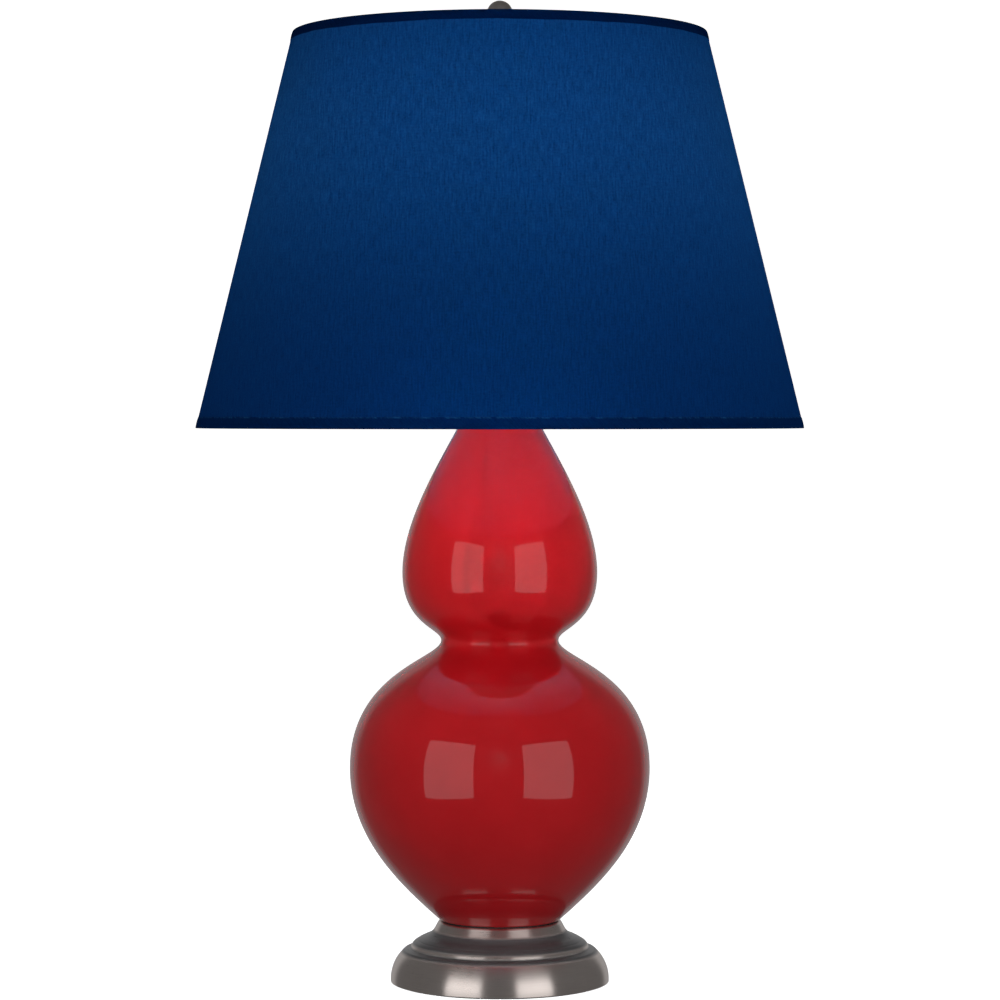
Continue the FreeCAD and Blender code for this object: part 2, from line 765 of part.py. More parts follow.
# ---------------------------------------------------------------- turn switch
def make_switch():
    """Both pieces are turned about the shaft and point to the front."""
    tip = "(phenolic_radius-switch_bore_depth)"
    collar_end = f"({SHELL_RADIUS}+shell_lip-{tip})"
    front = {"z": f"{SADDLE_TOP}+switch_height", "axis": (1, 0, 0), "angle": 90}
    shaft = turned("switch_shaft", [
        ("0", "0"), ("switch_shaft_radius", "0"),
        ("switch_shaft_radius", f"{collar_end}-switch_collar"),
        ("switch_collar_radius", f"{collar_end}-switch_collar"),
        ("switch_collar_radius", collar_end),
        ("switch_shaft_radius", collar_end),
        ("switch_shaft_radius", "switch_shaft_length"), ("0", "switch_shaft_length"),
    ], y=f"0-{tip}", **front)
    knob_foot = f"({SHELL_RADIUS}+shell_lip+seat_gap)"
    bore = "(switch_shaft_radius+thread_gap)"
    socket = f"(switch_shaft_length+{tip}-{knob_foot}+thread_gap)"
    knob = turned("switch_knob", [
        (bore, "0"),
        ("knob_foot_radius", "0"),
        ("knob_radius", "knob_foot"),
        ("knob_radius", "knob_length-knob_edge", ("arc", "knob_edge_round", "left")),
        ("knob_face_radius", "knob_length"),
        ("0", "knob_length"),
        ("0", socket),
        (bore, socket),
    ], y=f"0-{knob_foot}", **front)
    sketch = new_sketch(knob, "XY_Plane", "knob_flute")
    circle_on(sketch, "knob_flute_radius", across="knob_radius+knob_flute_offset")
    first = cut(knob, sketch, both=True)
    repeat(knob, first, sketch, "knob_flutes")
    return [shaft, knob]


# ---------------------------------------------------------------- bulb
def bulb_outline(inset):
    """Neck, concave flare, straight taper and round top of the glass."""
    ball = f"(bulb_radius-({inset}))"
    centre = "(bulb_height-bulb_radius)"
    edge = (f"{ball}*cos(bulb_taper)", f"{centre}-{ball}*sin(bulb_taper)")
    flare_top = (f"{edge[0]}-bulb_taper_length*sin(bulb_taper)",
                 f"{edge[1]}-bulb_taper_length*cos(bulb_taper)")
    neck = f"(bulb_neck_radius-({inset}))"
    flare = f"(({flare_top[0]}-{neck})/(1-cos(bulb_taper)))"
    return [
        (neck, "0"),
        (neck, f"{flare_top[1]}-{flare}*sin(bulb_taper)", ("arc", flare, "right")),
        flare_top,
        edge + (("arc", ball, "left"),),
        (ball, centre, ("arc", ball, "left")),
        ("0", f"{centre}+{ball}"),
    ]


def make_bulb():
    outer = bulb_outline("0")
    inner = bulb_outline("glass_wall")
    back = [("0", inner[-1][1], ("arc", "(bulb_radius-glass_wall)", "right")),
            inner[4][:2] + (("arc", "(bulb_radius-glass_wall)", "right"),),
            inner[3][:2],
            inner[2][:2] + (("arc", inner[1][2][1], "left"),),
            inner[1][:2], inner[0]]
    glass = turned("bulb_glass", outer + back, z=GLASS_FOOT)
    crests = thread_wave("(bulb_cap_radius-thread_depth)")
    inside = "(bulb_cap_radius-thread_depth-bulb_cap_wall)"
    rim = "(bulb_tip_radius+bulb_tip_flare)"
    cap = turned("bulb_cap", [(rim, "0")] + crests + [
        (crests[-1][0], "bulb_cap_height"),
        (inside, "bulb_cap_height"),
        (inside, "bulb_cap_wall"),
        (rim, "bulb_cap_wall"),
    ], z=BULB_CAP_FOOT)
    tip = turned("bulb_tip", [
        ("0", "0"), ("bulb_tip_radius/2", "0"), ("bulb_tip_radius", "bulb_tip_height/2"),
        (rim, "bulb_tip_height"),
        (f"{rim}-thread_gap", "bulb_tip_height+bulb_tip_flare"),
        ("0", "bulb_tip_height+bulb_tip_flare"),
    ], z=BULB_FOOT)
    flare = "(bulb_neck_radius-glass_wall-thread_gap)"
    stem = turned("bulb_stem", [
        ("0", "0"),
        (flare, "0"),
        (flare, "glass_wall"),
        ("stem_radius", "stem_flare"),
        ("stem_top_radius", "stem_height/2"),
        ("stem_top_radius", "stem_height"),
        ("0", "stem_height"),
    ], z=GLASS_FOOT)
    coil = primitive("Part::Torus", "filament_ring", Radius1="filament_radius", Radius2="filament_wire")
    holder = primitive("Part::Cylinder", "filament_holder", x="0-filament_radius", axis=(0, 1, 0), angle=90,
                       Radius="filament_wire/2", Height="2*filament_radius")
    filament = doc.addObject("Part::MultiFuse", "bulb_filament")
    filament.Shapes = [coil, holder]
    place(filament, f"{GLASS_FOOT}+stem_height+filament_wire")
    return [glass, cap, tip, stem, filament]


# ---------------------------------------------------------------- harp, ferrules and swivel stud
def rounded_path(corners):
    """A flat wire in the XZ plane through corners (x, z, rounding), its ends left sharp."""
    points = [FreeCAD.Vector(x, 0, z) for x, z, _ in corners]
    edges = []
    last = points[0]
    for before, here, after, corner in zip(points, points[1:], points[2:], corners[1:-1]):
        back = (before - here).normalize()
        ahead = (after - here).normalize()
        half = back.getAngle(ahead) / 2
        reach = corner[2] / math.tan(half)
        middle = (back + ahead).normalize() * (corner[2] / math.sin(half) - corner[2])
        start, finish = here + back * reach, here + ahead * reach
        edges.append(Part.LineSegment(last, start).toShape())
        edges.append(Part.Arc(start, here + middle, finish).toShape())
        last = finish
    edges.append(Part.LineSegment(last, points[-1]).toShape())
    return Part.Wire(edges)


def make_harp():
    """Bent wire with a bored boss at its top; its rest place is on the saddle's two tabs."""
    foot_x = number(HARP_FOOT_X)
    top = number("harp_height")
    right = [
        (foot_x, number("seat_gap"), 0),
        (foot_x, number("harp_leg"), number("harp_leg_round")),
        (number("harp_bulge"), number("harp_bulge_height"), number("harp_bulge_round")),
        (number("harp_shoulder"), top, number("harp_shoulder_round")),
    ]
    left = [(-x, z, rounding) for x, z, rounding in reversed(right)]
    spine = rounded_path(right + left)
    start = FreeCAD.Vector(foot_x, 0, number("seat_gap"))
    section = Part.Wire([Part.makeCircle(number("harp_wire"), start, FreeCAD.Vector(0, 0, 1))])
    wire = spine.makePipeShell([section], True, False)
    height = number("boss_height")
    foot = FreeCAD.Vector(0, 0, top - height / 2)
    boss = Part.makeCylinder(number("boss_radius"), height, foot)
    bore = Part.makeCylinder(number("stud_radius+sleeve_gap"), height, foot)
    harp = doc.addObject("Part::Feature", "harp_frame")
    harp.Shape = wire.fuse(boss).cut(bore)
    harp.Placement = FreeCAD.Placement(FreeCAD.Vector(0, 0, number(SADDLE_TOP)), FreeCAD.Rotation())
    return harp


def make_ferrule(side):
    """Sleeve that holds a tab and a harp leg together; it slides up to free the leg."""
    sign = -1 if side == "left" else 1
    inner = "(saddle_span-saddle_thickness-sleeve_gap)"
    outer = f"({HARP_FOOT_X}+harp_wire+sleeve_gap)"
    half = "(tab_width/2+sleeve_gap)"
    body = new_body(f"ferrule_{side}")
    block = new_sketch(body, "XY_Plane", f"ferrule_{side}_block")
    box_on(block, f"{inner}-ferrule_wall", f"{outer}+ferrule_wall",
           f"0-{half}-ferrule_wall", f"{half}+ferrule_wall")
    pad(body, block, "ferrule_height")
    round_edges(body, f"ferrule_{side}_rounding", "ferrule_round", FreeCAD.Vector(0, 0, 1))
    hollow = new_sketch(body, "XY_Plane", f"ferrule_{side}_hollow")
    box_on(hollow, inner, outer, f"0-{half}", half)
    cut(body, hollow, both=True)
    place(body, f"{SADDLE_TOP}+seat_gap", axis=(0, 0, 1), angle=0 if sign > 0 else 180)
    return body


def make_stud():
    """Swivel: a riveted shank in the harp's boss, a flange and a threaded post."""
    shank = "(boss_height+2*seat_gap)"
    return turned("harp_stud", [
        ("0", "0"),
        ("stud_head_radius", "0"),
        ("stud_head_radius", "stud_head"),
        ("stud_radius", "stud_head"),
        ("stud_radius", f"stud_head+{shank}"),
        ("flange_radius", f"stud_head+{shank}"),
        ("flange_radius", f"stud_head+{shank}+flange_thickness"),
        ("post_radius", f"stud_head+{shank}+flange_thickness"),
        ("post_radius", f"stud_head+{shank}+flange_thickness+post_height"),
        ("0", f"stud_head+{shank}+flange_thickness+post_height"),
    ], z=f"{FLANGE_FOOT}-{shank}-stud_head")


# ---------------------------------------------------------------- shade
def cone(depth, height):
    """Radius of the shade's cone at a height above its foot, in by a depth from the trim."""
    lean = "(shade_bottom_radius-shade_top_radius)/shade_height"
    return f"(shade_bottom_radius-{lean}*({height})-({depth}))"


def cone_wall(outer, inner, low, high):
    return [(cone(inner, low), low), (cone(outer, low), low), (cone(outer, high), high),
            (cone(inner, high), high)]


def folded_band(low, high, at_top):
    """Trim folded over a rim: outside, over the edge, and down the inside."""
    outside, inside = "trim_thickness", "(trim_thickness+fabric_thickness+liner_thickness)"
    back = f"({inside}+trim_thickness)"
    if at_top:
        edge = f"({high})-trim_thickness"
        return [(cone("0", low), low), (cone("0", high), high), (cone(back, high), high),
                (cone(back, low), low), (cone(inside, low), low), (cone(inside, edge), edge),
                (cone(outside, edge), edge), (cone(outside, low), low)]
    edge = f"({low})+trim_thickness"
    return [(cone("0", low), low), (cone("0", high), high), (cone(outside, high), high),
            (cone(outside, edge), edge), (cone(inside, edge), edge), (cone(inside, high), high),
            (cone(back, high), high), (cone(back, low), low)]


def make_shade_cover():
    low, high = "trim_thickness", "(shade_height-trim_thickness)"
    fabric_inside = "(trim_thickness+fabric_thickness)"
    liner_inside = f"({fabric_inside}+liner_thickness)"
    return [
        turned("shade_fabric", cone_wall("trim_thickness", fabric_inside, low, high), z=SHADE_FOOT),
        turned("shade_liner", cone_wall(fabric_inside, liner_inside, low, high), z=SHADE_FOOT),
        turned("shade_top_trim", folded_band("(shade_height-top_trim_height)", "shade_height", True),
               z=SHADE_FOOT),
        turned("shade_bottom_trim", folded_band("0", "bottom_trim_height", False), z=SHADE_FOOT),
    ]


def ring_radius(height):
    """Centreline of a wire ring that lies inside the folded trim at a height."""
    depth = "2*trim_thickness+fabric_thickness+liner_thickness"
    lean = "atan((shade_bottom_radius-shade_top_radius)/shade_height)"
    return f"({cone(depth, height)}-ring_wire/cos({lean}))"


def make_shade_frame():
    """Washer, arms and the two wire rings. The first arm points to the rear."""
    top_ring_height = "(shade_height-ring_wire)"
    bottom_ring_height = "ring_wire"
    top = primitive("Part::Torus", "shade_top_ring", z=f"{SHADE_FOOT}+{top_ring_height}",
                    Radius1=ring_radius(top_ring_height), Radius2="ring_wire")
    bottom = primitive("Part::Torus", "shade_bottom_ring", z=f"{SHADE_FOOT}+{bottom_ring_height}",
                       Radius1=ring_radius(bottom_ring_height), Radius2="ring_wire")
    washer = turned("spider_washer", ring("washer_radius", "post_radius+sleeve_gap", "washer_thickness"))
    start = FreeCAD.Vector(number("washer_radius-arm_radius"), 0, number("washer_thickness/2"))
    end = FreeCAD.Vector(number(f"{ring_radius(top_ring_height)}-ring_wire"), 0,
                         number("spider_drop-ring_wire"))
    arms = []
    count = int(round(number("arm_count")))
    for index in range(count):
        spin = FreeCAD.Rotation(FreeCAD.Vector(0, 0, 1), 90 + 360 * index / count)
        rod = Part.makeCylinder(number("arm_radius"), (end - start).Length, start, end - start)
        rod.Placement = FreeCAD.Placement(FreeCAD.Vector(), spin).multiply(rod.Placement)
        arm = doc.addObject("Part::Feature", f"spider_arm_{index}")
        arm.Shape = rod
        arms.append(arm)
    spider = doc.addObject("Part::MultiFuse", "shade_spider")
    spider.Shapes = [washer] + arms
    place(spider, WASHER_FOOT)
    return [spider, top, bottom]


# ---------------------------------------------------------------- finial
def make_finial():
    bore = "(post_radius+sleeve_gap)"
    join = "sqrt(ball_radius^2-finial_neck_radius^2)"
    return turned("finial", [
        (bore, "0"),
        ("finial_foot_radius", "0"),
        ("finial_foot_radius", "finial_foot_height/2", ("arc", "finial_foot_height", "left")),
        ("finial_neck_radius", "finial_cove_height"),
        ("finial_neck_radius", f"ball_lift-{join}", ("arc", "ball_radius", "left")),
        ("ball_radius", "ball_lift", ("arc", "ball_radius", "left")),
        ("0", "ball_lift+ball_radius"),
        ("0", "finial_bore_depth"),
        (bore, "finial_bore_depth"),
    ], z=FINIAL_FOOT)


# ---------------------------------------------------------------- all pieces, checks and files
pieces = [make_metal_base(), make_cord_bushing(), make_gourd(), make_gasket()]
pieces += make_under_base()
pieces += make_pipe_hardware()
pieces += make_neck_fittings()
pieces += [make_saddle()]
pieces += make_socket_cap()
pieces += make_socket_shell()
pieces += [make_phenolic(), make_terminal_screws(), make_screw_shell(), make_contact()]
pieces += make_switch()
pieces += make_bulb()
pieces += [make_harp(), make_ferrule("left"), make_ferrule("right"), make_stud()]
pieces += make_shade_frame()
pieces += make_shade_cover()
pieces += [make_finial()]
doc.recompute()

for item in doc.Objects:
    if "Invalid" in item.State or "Error" in item.State:
        raise RuntimeError(f"{item.Label} did not compute: {item.State}")
for piece in pieces:
    if piece.Shape.isNull() or not piece.Shape.isValid() or not piece.Shape.Solids:
        raise RuntimeError(f"{piece.Label} has no valid solid")

os.makedirs("parts", exist_ok=True)
for piece in pieces:
    piece.Shape.exportStep(f"parts/{piece.Label}.step")
    box = piece.Shape.BoundBox
    print(f"{piece.Label:20} solids {len(piece.Shape.Solids)}  volume {piece.Shape.Volume:11.1f}  "
          f"x {box.XMin:8.2f} {box.XMax:8.2f}  y {box.YMin:8.2f} {box.YMax:8.2f}  "
          f"z {box.ZMin:8.2f} {box.ZMax:8.2f}")
print(len(pieces), "pieces")
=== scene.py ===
"""The looks of a double gourd table lamp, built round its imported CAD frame.

Metres, in the frame's own axes: +Z up from the table, the camera looks along +Y. Turned pieces
are made by lathe() from an outline of (radius, height) points, and ride on their CAD bodies.
"""
import json
import math

import bpy
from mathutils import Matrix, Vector


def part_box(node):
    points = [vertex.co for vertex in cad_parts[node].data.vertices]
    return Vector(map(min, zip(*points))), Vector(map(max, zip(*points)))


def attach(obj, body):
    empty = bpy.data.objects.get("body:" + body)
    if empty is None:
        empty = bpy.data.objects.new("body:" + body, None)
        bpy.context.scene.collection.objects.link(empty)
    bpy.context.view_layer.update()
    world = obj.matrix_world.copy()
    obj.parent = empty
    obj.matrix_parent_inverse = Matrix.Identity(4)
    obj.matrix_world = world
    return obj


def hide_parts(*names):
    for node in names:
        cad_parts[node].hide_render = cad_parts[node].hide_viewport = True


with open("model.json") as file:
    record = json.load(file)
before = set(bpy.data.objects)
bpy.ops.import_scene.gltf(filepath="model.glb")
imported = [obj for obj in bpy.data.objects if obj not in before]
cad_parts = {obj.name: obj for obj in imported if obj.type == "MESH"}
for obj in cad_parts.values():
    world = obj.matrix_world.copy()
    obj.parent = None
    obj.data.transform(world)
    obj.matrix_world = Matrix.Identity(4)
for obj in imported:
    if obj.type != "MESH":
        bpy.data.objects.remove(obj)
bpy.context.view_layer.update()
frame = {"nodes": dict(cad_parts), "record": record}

MM = 0.001
TINY = 1e-7                # millimetres: a length that counts as none

# ------------------------------------------------------------------ sizes, in millimetres
TURN_STEPS = 256           # segments round the large turned pieces
SMALL_STEPS = 96           # and round the small ones
# how far from a corner its rounding starts, and the least corner that is rounded, in degrees
EASE = {"gourd": (0.8, 40), "base": (0.45, 12), "trim": (0.5, 30), "finial": (0.4, 25)}
EASE_SHARE = 0.45          # the most of an edge that the rounding at one end takes
EASE_STEPS = 4

GOURD = {                  # belly, waist, lobe and neck: radius, height and radius of curvature
    "foot": (48.0, 0.0), "foot_slope": 48.5, "foot_handle": 46.4,
    "belly": (119.9, 121.2, 119.4), "waist": (47.0, 222.8, 4.5),
    "lobe": (78.0, 277.1, 85.5), "neck": (17.0, 432.7, 15.0), "wall": 5.0, "hole": 8.0,
}

BASE_FOOT = (87.2, 1.0)
BASE_WALL = 3.0
OVOLO_LOW = (87.2, 2.9)
OVOLO_HIGH = (76.3, 26.5)
BASE_TOP = (47.4, 49.3)
# the base's inside, from the tube's hole outwards and down to its quarter round
BASE_CAVITY = [(5.25, 49.3), (5.25, 46.3), (46.8, 46.3), (49.4, 41.1), (59.5, 33.6), (66.7, 23.5)]
COVER_REBATE = (1.6, 5.0)  # in from the foot's edge, and up to this height
CORD_HOLE = {"radius": 4.85, "from": 65.0, "long": 30.0, "height": 10.0}    # towards the rear

CLOTH_THICK = 0.7
LINER_THICK = 0.5
LINER_GAP = 0.02
CLOTH_ROWS = 48
LINER_ROWS = 24
ARMS = 3
RIPPLE = 0.22              # how far the sheet moves in between the spider's arms
TRIM_THICK = 0.5
TRIM_PROUD = 0.18          # how far a band's edges stand out from the cloth's cone
TRIM_SWELL = 0.315         # how much further it bulges between them
SWELL_POWER = 0.6          # of the sine that shapes the bulge
TRIM_ROWS = 6
TOP_TRIM = 7.5
BOTTOM_TRIM = 9.0
WANDER = ((0.16, 7, 1.3), (0.11, 19, 0.0), (0.07, 43, 0.6))    # reach, waves round the shade, phase
WANDER_DEPTH = 3.0         # how deep into the band the free edge's wander goes
SEAM_HALF = 6.0            # half width
SEAM_UNDER_TRIM = 1.0
SEAM_LAYERS = ((0.02, 0.0), (0.42, 0.35))      # how proud a layer stands, and how far its sides drop

# radii of the ball, foot, flare, neck and bore; the others are heights above its foot
FINIAL = {"ball": 10.4, "centre": 24.0, "foot": 6.8, "foot_edge": 1.3, "flare": 2.6,
          "neck": 4.6, "neck_low": 3.9, "neck_high": 14.4, "bore": 3.4, "bore_deep": 11.5}
BALL_STEPS = 48
BULB_RADIUS = 33.5
BULB = {"taper": 25, "taper_long": 20.0, "neck": 13.4, "wall": 0.9}     # taper in degrees

# (radius, height) at the shade's foot and top, and the height of the bulb's centre
SHADE_LOW = (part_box("shade_bottom_trim")[1].x / MM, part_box("shade_bottom_trim")[0].z / MM)
SHADE_HIGH = (166.0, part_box("shade_top_trim")[1].z / MM)
BULB_LIGHT_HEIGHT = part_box("bulb_glass")[1].z / MM - BULB_RADIUS

# ------------------------------------------------------------------ colours, darkest and palest
GLAZE = ((0.525, 0.0060, 0.0100), (0.620, 0.0090, 0.0140))
SILVER = ((0.80, 0.705, 0.660), (0.97, 0.870, 0.820))
# painted shade on the base: a dark, dull fill in its cove, crease and ledge stands in for a dark reflection
PAINTED_SHADE_BANDS = ((0.0298, 0.0430), (0.0235, 0.0295))     # heights in metres of the painted shade in the turning
PAINTED_SHADE_FADE = 0.0020
PAINTED_SHADE_STRENGTH = 0.90
PAINTED_SHADE_COLOUR = (0.022, 0.040, 0.050)
CLOTH = ((0.0005, 0.0160, 0.0840), (0.0012, 0.0275, 0.1370))
THREAD_PITCH = 0.00055     # metres
SHEEN_COLOUR = (0.10, 0.28, 0.75)
# painted glow of the bulb's light through the cloth: its colour, reach and falloff
GLOW_COLOUR = (0.0050, 0.037, 0.106)
GLOW_REACH = 0.028         # square metres: the squared distance from the bulb where the glow is 1
GLOW_POWER = 2.35
TRIM_SHARE_AND_SHADE = {"top": 0.40, "bottom": 0.62}         # the bands' colour as a share of the cloth's; the top one is darker as painted shade
TOP_EDGE = (0.012, 0.035, 0.090)                   # the paler line at a band's free edge
BOTTOM_EDGE = (0.010, 0.050, 0.150)
STYRENE = ((0.37, 0.43, 0.60), (0.43, 0.49, 0.66))
FROSTED = ((0.86, 0.85, 0.82), (0.92, 0.91, 0.88))
LIT_BULB = (1.0, 0.97, 0.94)
BULB_GLOW = 0.35
PAPER = ((0.90, 0.90, 0.90), (0.92, 0.92, 0.92))
METALS = {                 # colours, mean roughness, scratches per metre, metallic
    "dark_bronze": ((0.52, 0.48, 0.45), (0.74, 0.69, 0.65), 0.36, 700.0, 1.0),
    "harp_metal": ((0.33, 0.30, 0.27), (0.50, 0.46, 0.42), 0.30, 900.0, 1.0),
    "zinc_steel": ((0.42, 0.42, 0.42), (0.62, 0.62, 0.62), 0.32, 900.0, 1.0),
    "brass": ((0.55, 0.36, 0.13), (0.78, 0.57, 0.27), 0.26, 900.0, 1.0),
    "tungsten": ((0.20, 0.20, 0.21), (0.34, 0.34, 0.35), 0.40, 900.0, 1.0),
    "white_wire": ((0.74, 0.74, 0.72), (0.84, 0.84, 0.82), 0.35, 400.0, 0.0),
}
PLAIN = {                  # colours, mean roughness, grains per metre, relief in metres, specular, sheen
    "felt": ((0.006, 0.006, 0.007), (0.020, 0.020, 0.022), 0.94, 900.0, 0.0006, 0.1, 0.4),
    "fibreboard": ((0.05, 0.035, 0.022), (0.11, 0.08, 0.055), 0.85, 500.0, 0.0003, 0.2, 0.0),
    "black_rubber": ((0.008, 0.008, 0.008), (0.018, 0.018, 0.018), 0.62, 300.0, 0.0001, 0.5, 0.0),
    "phenolic": ((0.009, 0.008, 0.008), (0.020, 0.018, 0.017), 0.32, 260.0, 0.00005, 0.5, 0.0),
    "sleeve_paper": ((0.42, 0.33, 0.22), (0.56, 0.46, 0.33), 0.80, 400.0, 0.0002, 0.2, 0.0),
}

# ------------------------------------------------------------------ light, in metres; 1 shows as white
BOX_DISTANCE = 1.8         # from the lamp's axis to a softbox
BOX_HEIGHT = 0.35          # of its middle
BOX_SIZE = (1.26, 1.52)
BOX_RADIANCE = 1.08
BOX_TURNS = {"softbox_left": -38.6, "softbox_right": 36.8}     # degrees round from the camera
BULB_POWER = 1.27          # watts
BULB_LIGHT_RADIUS = 0.03
WORLD_BACK = 0.31          # the room's level behind the lamp, in front of it and below it
WORLD_FRONT = 0.11
WORLD_TABLE = 0.085
BACK_FADE = (0.72, 0.88)   # how far back, as a share of straight back, the level behind sets in
TABLE_HALF = 2.4           # the lit table, in multiples of its depth below: to each side
TABLE_FRONT = 2.2          # and to the front
TABLE_FADE = 0.15
FLOOR_GLOW = 1.0           # the floor shines by itself and shows as white
STAGE_FLAT = (7.0, 0.0)    # radius and height where the floor starts to rise
STAGE_WALL = (9.0, 2.0)
STAGE_TOP = (9.0, 8.0)
# spots, unseen by glossy rays: place, height aimed at on the axis, size, radiance, degrees wide
SPOTS = {
    "top_fill": ((0, -1.8, 2.2), 0.40, 0.70, 3.0, 180),
    "shade_spot": ((0, -2.6, 1.5), 0.70, 0.25, 1.0, 14),
    "neck_spot": ((0, -2.6, 0.2), 0.395, 0.15, 0.93, 7),
    "belly_spot": ((0, -2.4, 0.75), 0.15, 0.60, 0.150, 14),
    "shade_left": ((-2.2, -0.6, 0.7), 0.58, 0.40, 0.17, 14),
    "shade_right": ((2.2, -0.6, 0.7), 0.58, 0.40, 0.35, 14),
    "gourd_left": ((-2.2, 0.1, 0.35), 0.28, 0.40, 0.08, 16),
    "gourd_right": ((2.2, 0.1, 0.35), 0.28, 0.40, 0.08, 16),
    "back_fill": ((0, 2.6, 1.4), 0.40, 0.90, 1.6, 60),
}

# ------------------------------------------------------------------ camera, in the photograph's pixels
PIXEL = 0.8 * MM           # one pixel at the lamp's axis
CAMERA_DISTANCE = 3415
CAMERA_ASIDE = 0.2
HORIZON = 415
BASE_LINE = 981.4          # where the table meets the lamp's axis
PHOTO_WIDTH = 1000


# ------------------------------------------------------------------ outlines
def line(a, b, steps=1):
    """Points from a up to, and without, b."""
    return [(a[0] + (b[0] - a[0]) * i / steps, a[1] + (b[1] - a[1]) * i / steps)
            for i in range(steps)]


def arc(a, b, radius, turn, steps=16):
    """Points of an arc of under half a circle from a up to, and without, b. turn is left or right."""
    side = 1 if turn == "left" else -1
    dx, dy = b[0] - a[0], b[1] - a[1]
    chord = math.hypot(dx, dy)
    rise = math.sqrt(max(radius * radius - chord * chord / 4, 0))
    cx = (a[0] + b[0]) / 2 - dy / chord * rise * side
    cy = (a[1] + b[1]) / 2 + dx / chord * rise * side
    begin = math.atan2(a[1] - cy, a[0] - cx)
    sweep = 2 * math.asin(min(1.0, chord / (2 * radius))) * side
    return [(cx + radius * math.cos(begin + sweep * i / steps),
             cy + radius * math.sin(begin + sweep * i / steps)) for i in range(steps)]


def bend(p0, p1, p2, p3, steps):
    """Points of a cubic span from p0 up to, and without, p3."""
    made = []
    for i in range(steps):
        u = i / steps
        v = 1 - u
        made.append(tuple(v ** 3 * a + 3 * v * v * u * b + 3 * v * u * u * c + u ** 3 * d
                          for a, b, c, d in zip(p0, p1, p2, p3)))
    return made


def eased(points, amount, sharp):
    """A closed outline with its corners over `sharp` degrees rounded, from `amount` beside each."""
    made = []
    count = len(points)
    for i, here in enumerate(points):
        before, after = points[i - 1], points[(i + 1) % count]
        back = Vector((before[0] - here[0], before[1] - here[1]))
        ahead = Vector((after[0] - here[0], after[1] - here[1]))
        if back.length < TINY or ahead.length < TINY:
            continue
        corner = 180 - math.degrees(back.angle(ahead))
        if corner < sharp or here[0] < TINY:
            made.append(here)
            continue
        start = Vector(here) + back.normalized() * min(amount, back.length * EASE_SHARE)
        finish = Vector(here) + ahead.normalized() * min(amount, ahead.length * EASE_SHARE)
        for k in range(EASE_STEPS + 1):
            u = k / EASE_STEPS
            point = start * (1 - u) ** 2 + Vector(here) * 2 * u * (1 - u) + finish * u * u
            made.append((point.x, point.y))
    return made


def moved_in(points, depth):
    """An open outline moved to its left by a depth, end to end."""
    made = []
    for i, here in enumerate(points):
        before, after = points[max(i - 1, 0)], points[min(i + 1, len(points) - 1)]
        dx, dy = after[0] - before[0], after[1] - before[1]
        length = math.hypot(dx, dy)
        made.append((here[0] - dy / length * depth, here[1] + dx / length * depth))
    return made


def raised(points, height):
    """An outline moved up by a height."""
    return [(r, z + height) for r, z in points]


def spans(rows, end):
    """Points through rows of (start, arc or None, steps) up to and with the end. arc is (radius, turn)."""
    made = []
    stops = [row[0] for row in rows[1:]] + [end]
    for (start, bow, steps), stop in zip(rows, stops):
        made += arc(start, stop, *bow, steps) if bow else line(start, stop, steps)
    return made + [end]


# ------------------------------------------------------------------ meshes
def new_object(name, verts, faces, sharp):
    """A smooth mesh in metres, with edges over `sharp` degrees left sharp."""
    mesh = bpy.data.meshes.new(name)
    mesh.from_pydata(verts, [], faces)
    mesh.validate()
    mesh.update()
    for polygon in mesh.polygons:
        polygon.use_smooth = True
    mesh.set_sharp_from_angle(angle=math.radians(sharp))
    made = bpy.data.objects.new(name, mesh)
    bpy.context.scene.collection.objects.link(made)
    return made


def lathe(name, outline, steps=TURN_STEPS, closed=True, shape=None, sharp=35, axis=None):
    """Turns an outline in millimetres about Z. shape(angle, radius, height) may move a point,
    and axis(point) lays the finished points along another axis."""
    verts, faces, rings = [], [], []
    for radius, height in outline:
        if radius < TINY:
            rings.append([len(verts)])
            verts.append((0.0, 0.0, height))
            continue
        rings.append(list(range(len(verts), len(verts) + steps)))
        for k in range(steps):
            angle = 2 * math.pi * k / steps
            r, z = (radius, height) if shape is None else shape(angle, radius, height)
            verts.append((r * math.cos(angle), r * math.sin(angle), z))
    for low, high in zip(rings, rings[1:] + rings[:1] if closed else rings[1:]):
        if len(low) == 1 and len(high) == 1:
            continue
        for k in range(steps):
            n = (k + 1) % steps
            if len(low) == 1:
                faces.append((low[0], high[n], high[k]))
            elif len(high) == 1:
                faces.append((low[k], low[n], high[0]))
            else:
                faces.append((low[k], low[n], high[n], high[k]))
    if axis:
        verts = [axis(v) for v in verts]
    return new_object(name, [(x * MM, y * MM, z * MM) for x, y, z in verts], faces, sharp)


# ------------------------------------------------------------------ material nodes
MIX_A, MIX_B, MIX_RESULT = 6, 7, 2      # the colour sockets of a Mix node


